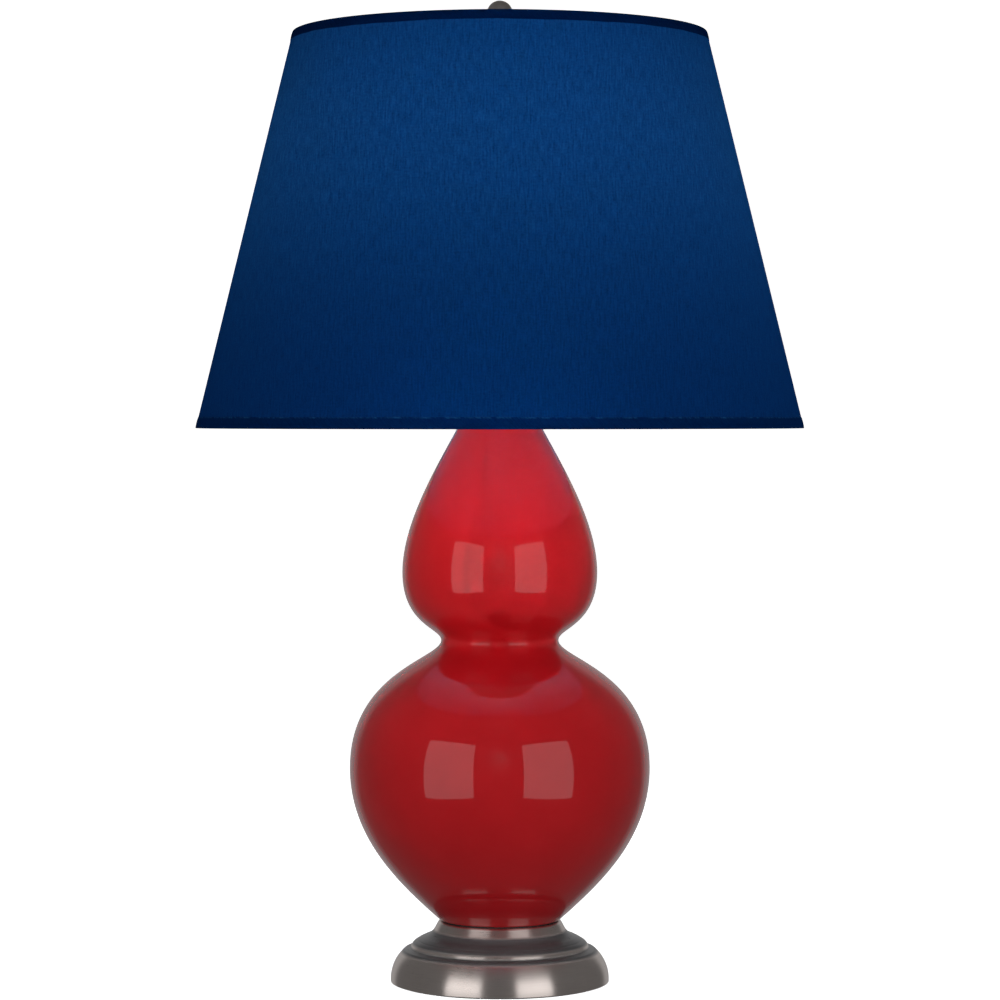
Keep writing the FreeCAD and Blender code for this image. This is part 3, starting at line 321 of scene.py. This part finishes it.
class Shader:
    """A node material with one Principled shader."""

    def __init__(self, name, **settings):
        self.material = bpy.data.materials.new(name)
        self.material.use_nodes = True
        self.tree = self.material.node_tree
        self.main = self.tree.nodes["Principled BSDF"]
        for socket, value in settings.items():
            self.main.inputs[socket.replace("_", " ")].default_value = value

    def add(self, kind, *wires, **settings):
        """A node of a kind. wires and numbers go to its inputs in order."""
        made = self.tree.nodes.new("ShaderNode" + kind)
        for key, value in settings.items():
            setattr(made, key, value)
        for index, wire in enumerate(wires):
            if isinstance(wire, bpy.types.NodeSocket):
                self.tree.links.new(wire, made.inputs[index])
            else:
                made.inputs[index].default_value = wire
        return made

    def math(self, operation, *wires):
        return self.add("Math", *wires, operation=operation).outputs[0]

    def to(self, socket, wire):
        self.tree.links.new(wire, self.main.inputs[socket])

    def place(self):
        """The piece's own coordinates, in metres."""
        return self.add("TexCoord").outputs["Object"]

    def vector(self, x, y, z):
        return self.add("CombineXYZ", x, y, z).outputs[0]

    def noise(self, vector, scale, detail=3.0, roughness=0.5):
        """Soft noise of about 0.3 to 0.7, its scale in features per metre."""
        made = self.add("TexNoise", vector)
        made.inputs["Scale"].default_value = scale
        made.inputs["Detail"].default_value = detail
        made.inputs["Roughness"].default_value = roughness
        return made.outputs["Fac"]

    def ramp(self, factor, *stops):
        """A colour by a factor, from stops of (place, colour)."""
        made = self.add("ValToRGB", factor)
        ramp = made.color_ramp
        while len(ramp.elements) < len(stops):
            ramp.elements.new(0.5)
        for element, (place, colour) in zip(ramp.elements, stops):
            element.position = place
            element.color = (*colour, 1)
        return made.outputs["Color"]

    def blend(self, factor, under, over):
        """over laid on under by a factor. Both are colours or wires."""
        made = self.add("Mix", data_type="RGBA")
        self.tree.links.new(factor, made.inputs["Factor"])
        for index, colour in ((MIX_A, under), (MIX_B, over)):
            if isinstance(colour, bpy.types.NodeSocket):
                self.tree.links.new(colour, made.inputs[index])
            else:
                made.inputs[index].default_value = (*colour, 1)
        return made.outputs[MIX_RESULT]

    def bump(self, height, strength, distance):
        """Relief of the surface, its distance in metres."""
        made = self.add("Bump")
        made.inputs["Strength"].default_value = strength
        made.inputs["Distance"].default_value = distance
        self.tree.links.new(height, made.inputs["Height"])
        self.to("Normal", made.outputs["Normal"])

    def span(self, value, low, high, to_low=0.0, to_high=1.0):
        """value mapped from one range to another, held at its ends."""
        return self.add("MapRange", value, low, high, to_low, to_high).outputs[0]

    def turned_coordinates(self):
        """Angle from the front about Z, radius and height of a point."""
        x, y, z = self.add("SeparateXYZ", self.place()).outputs
        angle = self.math("ARCTAN2", x, self.math("MULTIPLY", y, -1.0))
        squares = self.math("ADD", self.math("MULTIPLY", x, x), self.math("MULTIPLY", y, y))
        return angle, self.math("SQRT", squares), z


def glaze_material():
    """Deep red gloss glaze, a little uneven in depth and with the faintest waviness."""
    made = Shader("red_glaze", Specular_IOR_Level=0.05, Coat_Weight=1.0, Coat_Roughness=0.01, Coat_IOR=1.5)
    where = made.place()
    depth = made.noise(where, 9.0, 4.0, 0.6)
    made.to("Base Color", made.ramp(depth, (0.30, GLAZE[0]), (0.70, GLAZE[1])))
    made.to("Roughness", made.span(made.noise(where, 40.0, 2.0), 0.3, 0.7, 0.16, 0.26))
    angle, _, height = made.turned_coordinates()
    rings = made.noise(made.vector(made.math("MULTIPLY", angle, 0.05), 0.0, height), 55.0, 2.0)
    waves = made.math("ADD", made.math("MULTIPLY", rings, 0.5), made.noise(where, 78.0, 1.5))
    made.bump(waves, 0.55, 0.0009)
    return made.material


def silver_material():
    """Antique brushed silver: fine lines round the axis, with painted shade in the deep turning: a dark,
    dull fill that stands in for a dark reflection.
    """
    made = Shader("antique_silver", Metallic=1.0, Anisotropic=0.92, Anisotropic_Rotation=0.25)
    made.to("Tangent", made.add("Tangent", direction_type="RADIAL", axis="Z").outputs[0])
    angle, radius, height = made.turned_coordinates()
    across = made.vector(made.math("MULTIPLY", angle, 0.0015), radius, height)
    lines = made.noise(across, 2600.0, 2.0, 0.7)
    clouds = made.noise(made.place(), 24.0, 3.0, 0.6)
    tone = made.math("ADD", made.math("MULTIPLY", lines, 0.45), made.math("MULTIPLY", clouds, 0.55))
    plain = made.ramp(tone, (0.30, SILVER[0]), (0.72, SILVER[1]))
    painted_shade = 0.0
    # painted shade: the silver turns dark and dull in these bands
    for low, high in PAINTED_SHADE_BANDS:
        rising = made.span(height, low, low + PAINTED_SHADE_FADE, 0.0, PAINTED_SHADE_STRENGTH)
        falling = made.span(height, high - PAINTED_SHADE_FADE, high, 1.0, 0.0)
        painted_shade = made.math("MAXIMUM", painted_shade, made.math("MULTIPLY", rising, falling))
    made.to("Base Color", made.blend(painted_shade, plain, PAINTED_SHADE_COLOUR))
    made.to("Metallic", made.math("SUBTRACT", 1.0, painted_shade))
    made.to("Roughness", made.span(tone, 0.3, 0.7, 0.26, 0.32))
    made.bump(lines, 0.05, 0.00008)
    return made.material


def brushed_material(name, dark, light, rough, scale, metallic):
    """A plain metal with fine scratches and a cloudy tone."""
    made = Shader(name, Metallic=metallic)
    where = made.place()
    clouds = made.noise(where, 60.0, 3.0, 0.6)
    made.to("Base Color", made.ramp(clouds, (0.3, dark), (0.7, light)))
    scratches = made.noise(where, scale, 3.0, 0.7)
    made.to("Roughness", made.span(scratches, 0.3, 0.7, rough - 0.06, rough + 0.08))
    made.bump(scratches, 0.08, 0.0001)
    return made.material


def plain_material(name, dark, light, rough, grain, relief, specular, sheen):
    """Rubber, board, felt, paper or moulded plastic: a mottled tone and a grain."""
    made = Shader(name, Specular_IOR_Level=specular, Sheen_Weight=sheen)
    tone = made.noise(made.place(), grain, 4.0, 0.65)
    made.to("Base Color", made.ramp(tone, (0.3, dark), (0.7, light)))
    made.to("Roughness", made.span(tone, 0.2, 0.8, rough - 0.05, rough + 0.05))
    made.bump(tone, 0.3, relief)
    return made.material


def cloth_material(name, glow=False, depth=1.0, bias=False, edge=None):
    """Navy slub weave. Threads run up and round, or on the bias; thick slubs run mostly up. With
    glow a painted glow in emission stands in for the bulb's light through the cloth, most beside the
    bulb. depth is the colour's share, and edge a paler line: its lowest and highest height in metres,
    and its colour."""
    made = Shader(name, Roughness=0.95, Specular_IOR_Level=0.0, Sheen_Weight=0.01, Sheen_Roughness=0.5)
    made.main.inputs["Sheen Tint"].default_value = (*SHEEN_COLOUR, 1)
    angle, radius, height = made.turned_coordinates()
    along = made.math("MULTIPLY", angle, radius)
    up = height
    if bias:
        along, up = made.math("ADD", along, height), made.math("SUBTRACT", along, height)
    wobble = made.math("MULTIPLY", made.noise(made.vector(along, up, 0.0), 120.0, 2.0), 9.0)

    def wave(way):
        phase = made.math("ADD", made.math("MULTIPLY", way, 2 * math.pi / THREAD_PITCH), wobble)
        return made.math("SINE", phase)

    threads = made.math("MULTIPLY", wave(along), wave(up))
    warp_slub = made.noise(made.vector(made.math("MULTIPLY", along, 9.0), up, 0.0), 85.0, 3.0, 0.6)
    weft_slub = made.noise(made.vector(along, made.math("MULTIPLY", up, 6.0), 3.7), 140.0, 2.0)
    speckle = made.noise(made.vector(along, up, 1.9), 620.0, 2.0)
    fine = made.math("MULTIPLY_ADD", weft_slub, 0.14, made.math("MULTIPLY", speckle, 0.30))
    slub = made.math("MULTIPLY_ADD", warp_slub, 0.56, fine)
    tone = made.math("ADD", slub, made.math("MULTIPLY", threads, 0.035))
    dark, light = ([depth * c for c in colour] for colour in CLOTH)
    base = made.ramp(tone, (0.34, dark), (0.64, light))
    if edge:
        low, high, colour = edge
        fray = made.noise(made.vector(along, 0.0, 0.0), 220.0, 3.0, 0.8)
        frayed = made.math("ADD", height, made.math("MULTIPLY", fray, 0.0016))
        inside = made.math("MULTIPLY", made.span(frayed, low, low + 0.0002),
                           made.span(frayed, high, high + 0.0002, 1.0, 0.0))
        patchy = made.span(made.noise(made.vector(along, 0.0, 5.0), 90.0, 3.0, 0.8), 0.45, 0.62)
        base = made.blend(made.math("MULTIPLY", inside, patchy), base, colour)
    made.to("Base Color", base)
    if glow:
        # painted glow: emission that stands in for the bulb's light through the cloth, brightest nearest
        # the bulb
        rise = made.math("SUBTRACT", height, BULB_LIGHT_HEIGHT * MM)
        squares = made.math("ADD", made.math("MULTIPLY", rise, rise), made.math("MULTIPLY", radius, radius))
        bright = made.math("POWER", made.math("DIVIDE", GLOW_REACH, squares), GLOW_POWER)
        thin = made.span(tone, 0.34, 0.66, 0.40, 1.6)
        made.main.inputs["Emission Color"].default_value = (*GLOW_COLOUR, 1)
        made.to("Emission Strength", made.math("MULTIPLY", bright, thin))
    relief = made.math("ADD", made.math("MULTIPLY", threads, 0.35), made.math("MULTIPLY", slub, 1.3))
    made.bump(relief, 0.55, 0.00022)
    return made.material


def liner_material():
    """Thin white styrene that lets the navy cloth behind it show, so it looks a cool pale blue."""
    made = Shader("styrene", Roughness=0.42, Specular_IOR_Level=0.45)
    where = made.place()
    made.to("Base Color", made.ramp(made.noise(where, 35.0), (0.3, STYRENE[0]), (0.7, STYRENE[1])))
    made.bump(made.noise(where, 900.0, 2.0), 0.05, 0.0001)
    return made.material


def bulb_material():
    """White inside-frosted glass, glowing evenly."""
    made = Shader("frosted_glass", Roughness=0.25, Coat_Weight=0.5, Emission_Strength=BULB_GLOW)
    tone = made.noise(made.place(), 90.0, 2.0)
    made.to("Base Color", made.ramp(tone, (0.3, FROSTED[0]), (0.7, FROSTED[1])))
    made.main.inputs["Emission Color"].default_value = (*LIT_BULB, 1)
    return made.material


def clear_glass_material():
    """Clear glass with the slightest waviness."""
    made = Shader("clear_glass", Roughness=0.03, Transmission_Weight=1.0, IOR=1.5)
    made.bump(made.noise(made.place(), 120.0, 2.0), 0.05, 0.0001)
    return made.material


# ------------------------------------------------------------------ pieces
def gourd_outline():
    """The turned outline of the ceramic body from foot to neck, above its foot. It runs through
    four stations, and each has the radius of its curve as its third number."""
    foot, belly, waist, lobe, neck = (GOURD[k] for k in ("foot", "belly", "waist", "lobe", "neck"))
    slope = math.radians(GOURD["foot_slope"])
    handle = GOURD["foot_handle"]
    foot_pole = (foot[0] + handle * math.sin(slope), foot[1] + handle * math.cos(slope))

    def pole(station, drop, sign):
        return (station[0], station[1] + sign * math.sqrt(2 * station[2] * drop / 3))

    points = bend(foot, foot_pole, pole(belly, belly[0] - foot_pole[0], -1), belly[:2], 40)
    for low, high, steps in ((belly, waist, 44), (waist, lobe, 32), (lobe, neck, 44)):
        drop = abs(low[0] - high[0])
        points += bend(low[:2], pole(low, drop, 1), pole(high, drop, -1), high[:2], steps)
    return points + [neck[:2]]


def make_gourd():
    """Glazed body: its outline and the inner wall, open round the tube at both ends."""
    outer = gourd_outline()
    top = outer[-1][1]
    inside = [p for p in reversed(moved_in(outer, GOURD["wall"])) if p[1] <= top]
    inside[0] = (inside[0][0], top)
    outline = [(GOURD["hole"], 0.0)] + outer + inside + [(GOURD["hole"], inside[-1][1])]
    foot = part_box("gourd_body")[0].z / MM
    made = lathe("gourd_glaze", raised(eased(outline, *EASE["gourd"]), foot))
    made.data.materials.append(MATERIALS["red_glaze"])
    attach(made, "lamp_body")
    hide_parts("gourd_body")


def make_base():
    """Turned base: quarter round, bead, crease, cove and collar, with its corners eased."""
    run, rise = OVOLO_LOW[0] - OVOLO_HIGH[0], OVOLO_HIGH[1] - OVOLO_LOW[1]
    ovolo = (run ** 2 + rise ** 2) / (2 * run)
    outer = spans([
        (BASE_FOOT, None, 2),
        (OVOLO_LOW, (ovolo, "left"), 40),
        (OVOLO_HIGH, None, 4),
        ((71.2, 27.5), (8.0, "left"), 20),      # bead
        ((65.6, 34.0), None, 1),                # crease
        ((65.0, 34.7), None, 4),
        ((61.0, 36.6), (14.0, "right"), 20),    # cove
        ((52.4, 42.6), None, 6),                # collar
        ((49.8, 47.4), (3.2, "left"), 10),
    ], BASE_TOP)
    inner_round = ovolo - BASE_WALL

    def inner(height):
        return BASE_FOOT[0] - ovolo + math.sqrt(inner_round ** 2 - (height - OVOLO_LOW[1]) ** 2), height

    rebate, rebate_top = BASE_FOOT[0] - COVER_REBATE[0], COVER_REBATE[1]
    inside = BASE_CAVITY + arc(inner(BASE_CAVITY[-1][1]), inner(rebate_top), inner_round, "right", 16)
    inside += [inner(rebate_top), (rebate, rebate_top), (rebate, BASE_FOOT[1])]
    made = lathe("turned_base", eased(outer + inside, *EASE["base"]), sharp=60)
    radius, long = CORD_HOLE["radius"], CORD_HOLE["long"]
    hole = lathe("cord_hole_tool", [(0, 0), (radius, 0), (radius, long), (0, long)], steps=48,
                 axis=lambda v: (v[0], CORD_HOLE["from"] + v[2], CORD_HOLE["height"] + v[1]))
    bore = made.modifiers.new("bore", "BOOLEAN")
    bore.object = hole
    bore.operation = "DIFFERENCE"
    bore.solver = "EXACT"
    bpy.context.view_layer.update()
    depsgraph = bpy.context.evaluated_depsgraph_get()
    bored = bpy.data.meshes.new_from_object(made.evaluated_get(depsgraph))
    made.modifiers.clear()
    made.data = bored
    bpy.data.objects.remove(hole)
    made.data.materials.clear()
    made.data.materials.append(MATERIALS["antique_silver"])
    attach(made, "lamp_body")
    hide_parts("metal_base")


def cone(depth, height):
    """Radius of the shade's cone at a height above its foot, in by a depth from the trim."""
    lean = (SHADE_LOW[0] - SHADE_HIGH[0]) / (SHADE_HIGH[1] - SHADE_LOW[1])
    return SHADE_LOW[0] - lean * height - depth


def cone_band(outer, inner, low, high, rows, foot):
    """Closed outline of a sheet on the cone, in rows, so that its mesh is even."""
    up = [(cone(outer, z), z) for z in (low + (high - low) * i / rows for i in range(rows + 1))]
    down = [(cone(inner, z), z) for z in (high - (high - low) * i / rows for i in range(rows + 1))]
    return raised(up + down, foot)


def shade_ripple(angle, radius, height):
    """The laminated sheet isn't a perfect cone: it flattens a little between the arms."""
    return radius - RIPPLE * (1 - math.cos(ARMS * (angle - math.pi / 2))) * 0.5, height


def make_shade():
    """Cloth, lining, both folded bands and the seam, all on the shade's body."""
    foot = SHADE_LOW[1]
    tall = SHADE_HIGH[1] - foot
    low, high = TRIM_THICK, tall - TRIM_THICK
    inside = TRIM_THICK + CLOTH_THICK
    back = inside + LINER_THICK
    cloth = lathe("shade_cloth", cone_band(TRIM_THICK, inside, low, high, CLOTH_ROWS, foot),
                  shape=shade_ripple)
    cloth.data.materials.append(MATERIALS["navy_cloth"])
    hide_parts("shade_fabric")
    liner = lathe("shade_lining", cone_band(inside + LINER_GAP, back, low, high, LINER_ROWS, foot),
                  shape=shade_ripple)
    liner.data.materials.append(MATERIALS["styrene"])
    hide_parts("shade_liner")
    made = [cloth, liner]
    for name, node, low, high, at_top in (
            ("trim_top", "shade_top_trim", tall - TOP_TRIM, tall, True),
            ("trim_bottom", "shade_bottom_trim", 0.0, BOTTOM_TRIM, False)):
        band = lathe(name, raised(trim_outline(low, high, back, at_top), foot),
                     shape=trim_wave(foot + low if at_top else foot + high))
        band.data.materials.append(MATERIALS[f"navy_{name}"])
        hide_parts(node)
        made.append(band)
    seam = make_seam(foot, tall)
    made.append(seam)
    for piece in made:
        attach(piece, "shade")


def trim_outline(low, high, back, at_top):
    """Folded band in section: it swells between its edges and wraps round the rim."""
    def at(depth, height):
        return cone(depth, height), height

    outside = []
    for i in range(TRIM_ROWS + 1):
        swell = 0.0
        if 0 < i < TRIM_ROWS:
            swell = TRIM_SWELL * math.sin(math.pi * i / TRIM_ROWS) ** SWELL_POWER
        outside.append(at(TRIM_THICK - TRIM_PROUD - swell, low + (high - low) * i / TRIM_ROWS))
    fold = back + TRIM_THICK
    if at_top:
        under = high - TRIM_THICK
        points = [at(TRIM_THICK, low)] + outside + [
            at(fold, high), at(fold, low), at(back, low), at(back, under), at(TRIM_THICK, under)]
    else:
        points = outside + [
            at(TRIM_THICK, high), at(TRIM_THICK, TRIM_THICK), at(back, TRIM_THICK), at(back, high),
            at(fold, high), at(fold, low)]
    return eased(points, *EASE["trim"])


def trim_wave(edge):
    """The free edge of a band wanders a fraction of a millimetre round the shade."""
    def shape(angle, radius, height):
        near = max(0.0, 1 - abs(height - edge) / WANDER_DEPTH)
        wander = sum(reach * math.sin(waves * angle + phase) for reach, waves, phase in WANDER)
        return shade_ripple(angle, radius, height + near * wander)
    return shape


def make_seam(foot, tall):
    """Lapped joint of the cloth down the back, one layer proud."""
    rows, across = 40, 8
    verts, faces = [], []
    low, high = BOTTOM_TRIM - SEAM_UNDER_TRIM, tall - TOP_TRIM + SEAM_UNDER_TRIM
    for proud, side_drop in SEAM_LAYERS:
        for i in range(rows + 1):
            z = low + (high - low) * i / rows
            radius = cone(TRIM_THICK - proud, z)
            for k in range(across + 1):
                angle = math.pi / 2 + (k / across - 0.5) * 2 * SEAM_HALF / radius
                drop = side_drop if k in (0, across) else 0.0
                r = shade_ripple(angle, radius, z)[0] - drop
                verts.append((r * math.cos(angle) * MM, r * math.sin(angle) * MM, (z + foot) * MM))

    def at(layer, i, k):
        return layer * (rows + 1) * (across + 1) + i * (across + 1) + k

    for i in range(rows):
        for k in range(across):
            faces.append((at(1, i, k), at(1, i + 1, k), at(1, i + 1, k + 1), at(1, i, k + 1)))
            faces.append((at(0, i, k), at(0, i, k + 1), at(0, i + 1, k + 1), at(0, i + 1, k)))
        faces.append((at(0, i, 0), at(0, i + 1, 0), at(1, i + 1, 0), at(1, i, 0)))
        faces.append((at(0, i, across), at(1, i, across), at(1, i + 1, across), at(0, i + 1, across)))
    for k in range(across):
        faces.append((at(0, 0, k), at(1, 0, k), at(1, 0, k + 1), at(0, 0, k + 1)))
        faces.append((at(0, rows, k), at(0, rows, k + 1), at(1, rows, k + 1), at(1, rows, k)))
    seam = new_object("shade_seam", verts, faces, 60)
    seam.data.materials.append(MATERIALS["navy_cloth"])
    return seam


def make_finial():
    """Ball on a short turned neck, bored from below, with eased corners."""
    ball, centre, bore = FINIAL["ball"], FINIAL["centre"], FINIAL["bore"]
    neck, foot_edge = FINIAL["neck"], (FINIAL["foot"], FINIAL["foot_edge"])
    points = [(bore, 0.0)] + line((FINIAL["foot"], 0.0), foot_edge)
    points += arc(foot_edge, (neck, FINIAL["neck_low"]), FINIAL["flare"], "left", 8)
    points += line((neck, FINIAL["neck_low"]), (neck, FINIAL["neck_high"]), 4)
    join = math.asin(-math.sqrt(ball ** 2 - neck ** 2) / ball)
    for i in range(BALL_STEPS):
        angle = join + (math.pi / 2 - join) * i / BALL_STEPS
        points.append((ball * math.cos(angle), centre + ball * math.sin(angle)))
    points += [(0.0, centre + ball), (0.0, FINIAL["bore_deep"]), (bore, FINIAL["bore_deep"])]
    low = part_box("finial")[0].z / MM
    made = lathe("ball_finial", raised(eased(points, *EASE["finial"]), low), steps=SMALL_STEPS)
    made.data.materials.append(MATERIALS["dark_bronze"])
    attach(made, "finial")
    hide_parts("finial")


def make_bulb():
    """Round envelope that tapers to its neck, with a thin wall."""
    low, high = (c.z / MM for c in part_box("bulb_glass"))
    centre = high - low - BULB_RADIUS
    taper, long, neck = math.radians(BULB["taper"]), BULB["taper_long"], BULB["neck"]
    edge = (BULB_RADIUS * math.cos(taper), centre - BULB_RADIUS * math.sin(taper))
    flare_top = (edge[0] - long * math.sin(taper), edge[1] - long * math.cos(taper))
    flare = (flare_top[0] - neck) / (1 - math.cos(taper))
    crown = (0.0, centre + BULB_RADIUS)
    points = spans([
        ((neck, 0.0), None, 2),
        ((neck, flare_top[1] - flare * math.sin(taper)), (flare, "right"), 20),
        (flare_top, None, 4),
        (edge, (BULB_RADIUS, "left"), 12),
        ((BULB_RADIUS, centre), (BULB_RADIUS, "left"), 28),
    ], crown)
    inner = moved_in(points[:-1], BULB["wall"])
    inner.reverse()
    inner[-1] = (inner[-1][0], 0.0)
    outline = points + [(0.0, crown[1] - BULB["wall"])] + inner[1:]
    made = lathe("bulb_envelope", raised(outline, low), steps=SMALL_STEPS)
    made.data.materials.append(MATERIALS["frosted_glass"])
    made.visible_shadow = False
    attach(made, "bulb")
    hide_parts("bulb_glass")


# ------------------------------------------------------------------ stage, light and camera
def area_light(name, place, aim, size, radiance, glossy=True, spread=180):
    """A one-sided rectangular light. At a spread of 180 a radiance of 1 mirrors as white."""
    light = bpy.data.lights.new(name, "AREA")
    light.shape = "RECTANGLE"
    light.size, light.size_y = size
    light.energy = radiance * size[0] * size[1] * math.pi
    light.spread = math.radians(spread)
    made = bpy.data.objects.new(name, light)
    made.location = place
    made.rotation_euler = (Vector(aim) - Vector(place)).to_track_quat("-Z", "Y").to_euler()
    made.visible_camera = False
    made.visible_glossy = glossy
    bpy.context.scene.collection.objects.link(made)


def make_stage():
    """Round pale floor that curves up into a wall all round. Only the camera sees it."""
    profile = line((0, 0), STAGE_FLAT) + arc(STAGE_FLAT, STAGE_WALL, STAGE_WALL[1], "left")
    profile += [STAGE_WALL, STAGE_TOP]
    floor = lathe("floor", [(radius / MM, height / MM) for radius, height in profile],
                  steps=SMALL_STEPS, closed=False, sharp=60)
    floor.visible_glossy = False
    floor.visible_diffuse = False
    floor.visible_transmission = False
    floor.visible_shadow = False
    stage = Shader("floor_paper", Roughness=0.9, Specular_IOR_Level=0.0, Emission_Strength=FLOOR_GLOW)
    stage.main.inputs["Emission Color"].default_value = (1, 1, 1, 1)
    tone = stage.noise(stage.place(), 3.0, 2.0)
    stage.to("Base Color", stage.ramp(tone, (0.3, PAPER[0]), (0.7, PAPER[1])))
    floor.data.materials.append(stage.material)


def make_world():
    """A dim studio: a paler level behind the lamp, and below it one that stands for the table."""
    world = bpy.data.worlds.new("studio")
    bpy.context.scene.world = world
    world.use_nodes = True
    tree = world.node_tree
    background = tree.nodes["Background"]

    def add(kind, *wires, **settings):
        made = tree.nodes.new("ShaderNode" + kind)
        for key, value in settings.items():
            setattr(made, key, value)
        for index, wire in enumerate(wires):
            if isinstance(wire, bpy.types.NodeSocket):
                tree.links.new(wire, made.inputs[index])
            else:
                made.inputs[index].default_value = wire
        return made.outputs

    def calc(operation, *wires):
        return add("Math", *wires, operation=operation)[0]

    x, y, z = add("SeparateXYZ", add("TexCoord")["Generated"])
    behind = add("MapRange", y, *BACK_FADE, WORLD_FRONT, WORLD_BACK, interpolation_type="SMOOTHSTEP")[0]
    depth = calc("MAXIMUM", calc("MULTIPLY", z, -1.0), 0.001)
    across = calc("DIVIDE", calc("ABSOLUTE", x), depth)
    forward = calc("DIVIDE", calc("MULTIPLY", y, -1.0), depth)
    table = add("MapRange", across, TABLE_HALF, TABLE_HALF + TABLE_FADE, WORLD_TABLE, 0.0)[0]
    edge = add("MapRange", forward, TABLE_FRONT, TABLE_FRONT + TABLE_FADE, 1.0, 0.0)[0]
    level = calc("MAXIMUM", behind, calc("MULTIPLY", table, edge))
    background.inputs["Color"].default_value = (1, 1, 1, 1)
    tree.links.new(level, background.inputs["Strength"])


def make_light():
    """Two tall softboxes left and right of the camera, the spots, and a point light in the bulb."""
    for name, degrees in BOX_TURNS.items():
        turn = math.radians(degrees)
        place = (BOX_DISTANCE * math.sin(turn), -BOX_DISTANCE * math.cos(turn), BOX_HEIGHT)
        area_light(name, place, (0, 0, BOX_HEIGHT), BOX_SIZE, BOX_RADIANCE)
    for name, (place, aim, size, radiance, spread) in SPOTS.items():
        area_light(name, place, (0, 0, aim), (size, size), radiance, glossy=False, spread=spread)
    lamp = bpy.data.lights.new("bulb_light", "POINT")
    lamp.energy = BULB_POWER
    lamp.color = LIT_BULB
    lamp.shadow_soft_size = BULB_LIGHT_RADIUS
    lamp_object = bpy.data.objects.new("bulb_light", lamp)
    lamp_object.location = (0, 0, BULB_LIGHT_HEIGHT * MM)
    lamp_object.visible_camera = False
    lamp_object.visible_glossy = False
    bpy.context.scene.collection.objects.link(lamp_object)
    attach(lamp_object, "bulb")


def make_camera():
    """The photograph's view: no tilt, the horizon above the picture's middle."""
    camera = bpy.data.cameras.new("camera")
    camera.sensor_width = 36
    camera.lens = camera.sensor_width * CAMERA_DISTANCE / PHOTO_WIDTH
    camera.shift_y = (HORIZON - PHOTO_WIDTH / 2) / PHOTO_WIDTH
    camera.clip_end = 50
    made = bpy.data.objects.new("camera", camera)
    made.location = (CAMERA_ASIDE * PIXEL, -CAMERA_DISTANCE * PIXEL, (BASE_LINE - HORIZON) * PIXEL)
    made.rotation_euler = (math.pi / 2, 0, 0)
    bpy.context.scene.collection.objects.link(made)
    bpy.context.scene.camera = made


# the free edges of the bands, in metres
top_line = (SHADE_HIGH[1] - TOP_TRIM) * MM
bottom_line = (SHADE_LOW[1] + BOTTOM_TRIM) * MM
MATERIALS = {
    "red_glaze": glaze_material(),
    "antique_silver": silver_material(),
    "navy_cloth": cloth_material("navy_cloth", glow=True),
    # the top band's smaller share is painted shade
    "navy_trim_top": cloth_material("navy_trim_top", depth=TRIM_SHARE_AND_SHADE["top"], bias=True,
                                    edge=(top_line - 0.0008, top_line + 0.0002, TOP_EDGE)),
    "navy_trim_bottom": cloth_material("navy_trim_bottom", depth=TRIM_SHARE_AND_SHADE["bottom"], bias=True,
                                       edge=(bottom_line - 0.0003, bottom_line + 0.0009, BOTTOM_EDGE)),
    "styrene": liner_material(),
    "frosted_glass": bulb_material(),
    "clear_glass": clear_glass_material(),
}
MATERIALS.update({name: brushed_material(name, *row) for name, row in METALS.items()})
MATERIALS.update({name: plain_material(name, *row) for name, row in PLAIN.items()})

# the CAD trims keep their own material, because the bands made below stand for them
for row in frame["record"]["subparts"]:
    if row["material_slot"] in MATERIALS:
        node = frame["nodes"][row["node"]]
        node.data.materials.clear()
        node.data.materials.append(MATERIALS[row["material_slot"]])

bpy.context.scene.view_settings.view_transform = "Standard"
make_camera()
make_stage()
make_world()
make_light()
make_gourd()
make_base()
make_shade()
make_finial()
make_bulb()
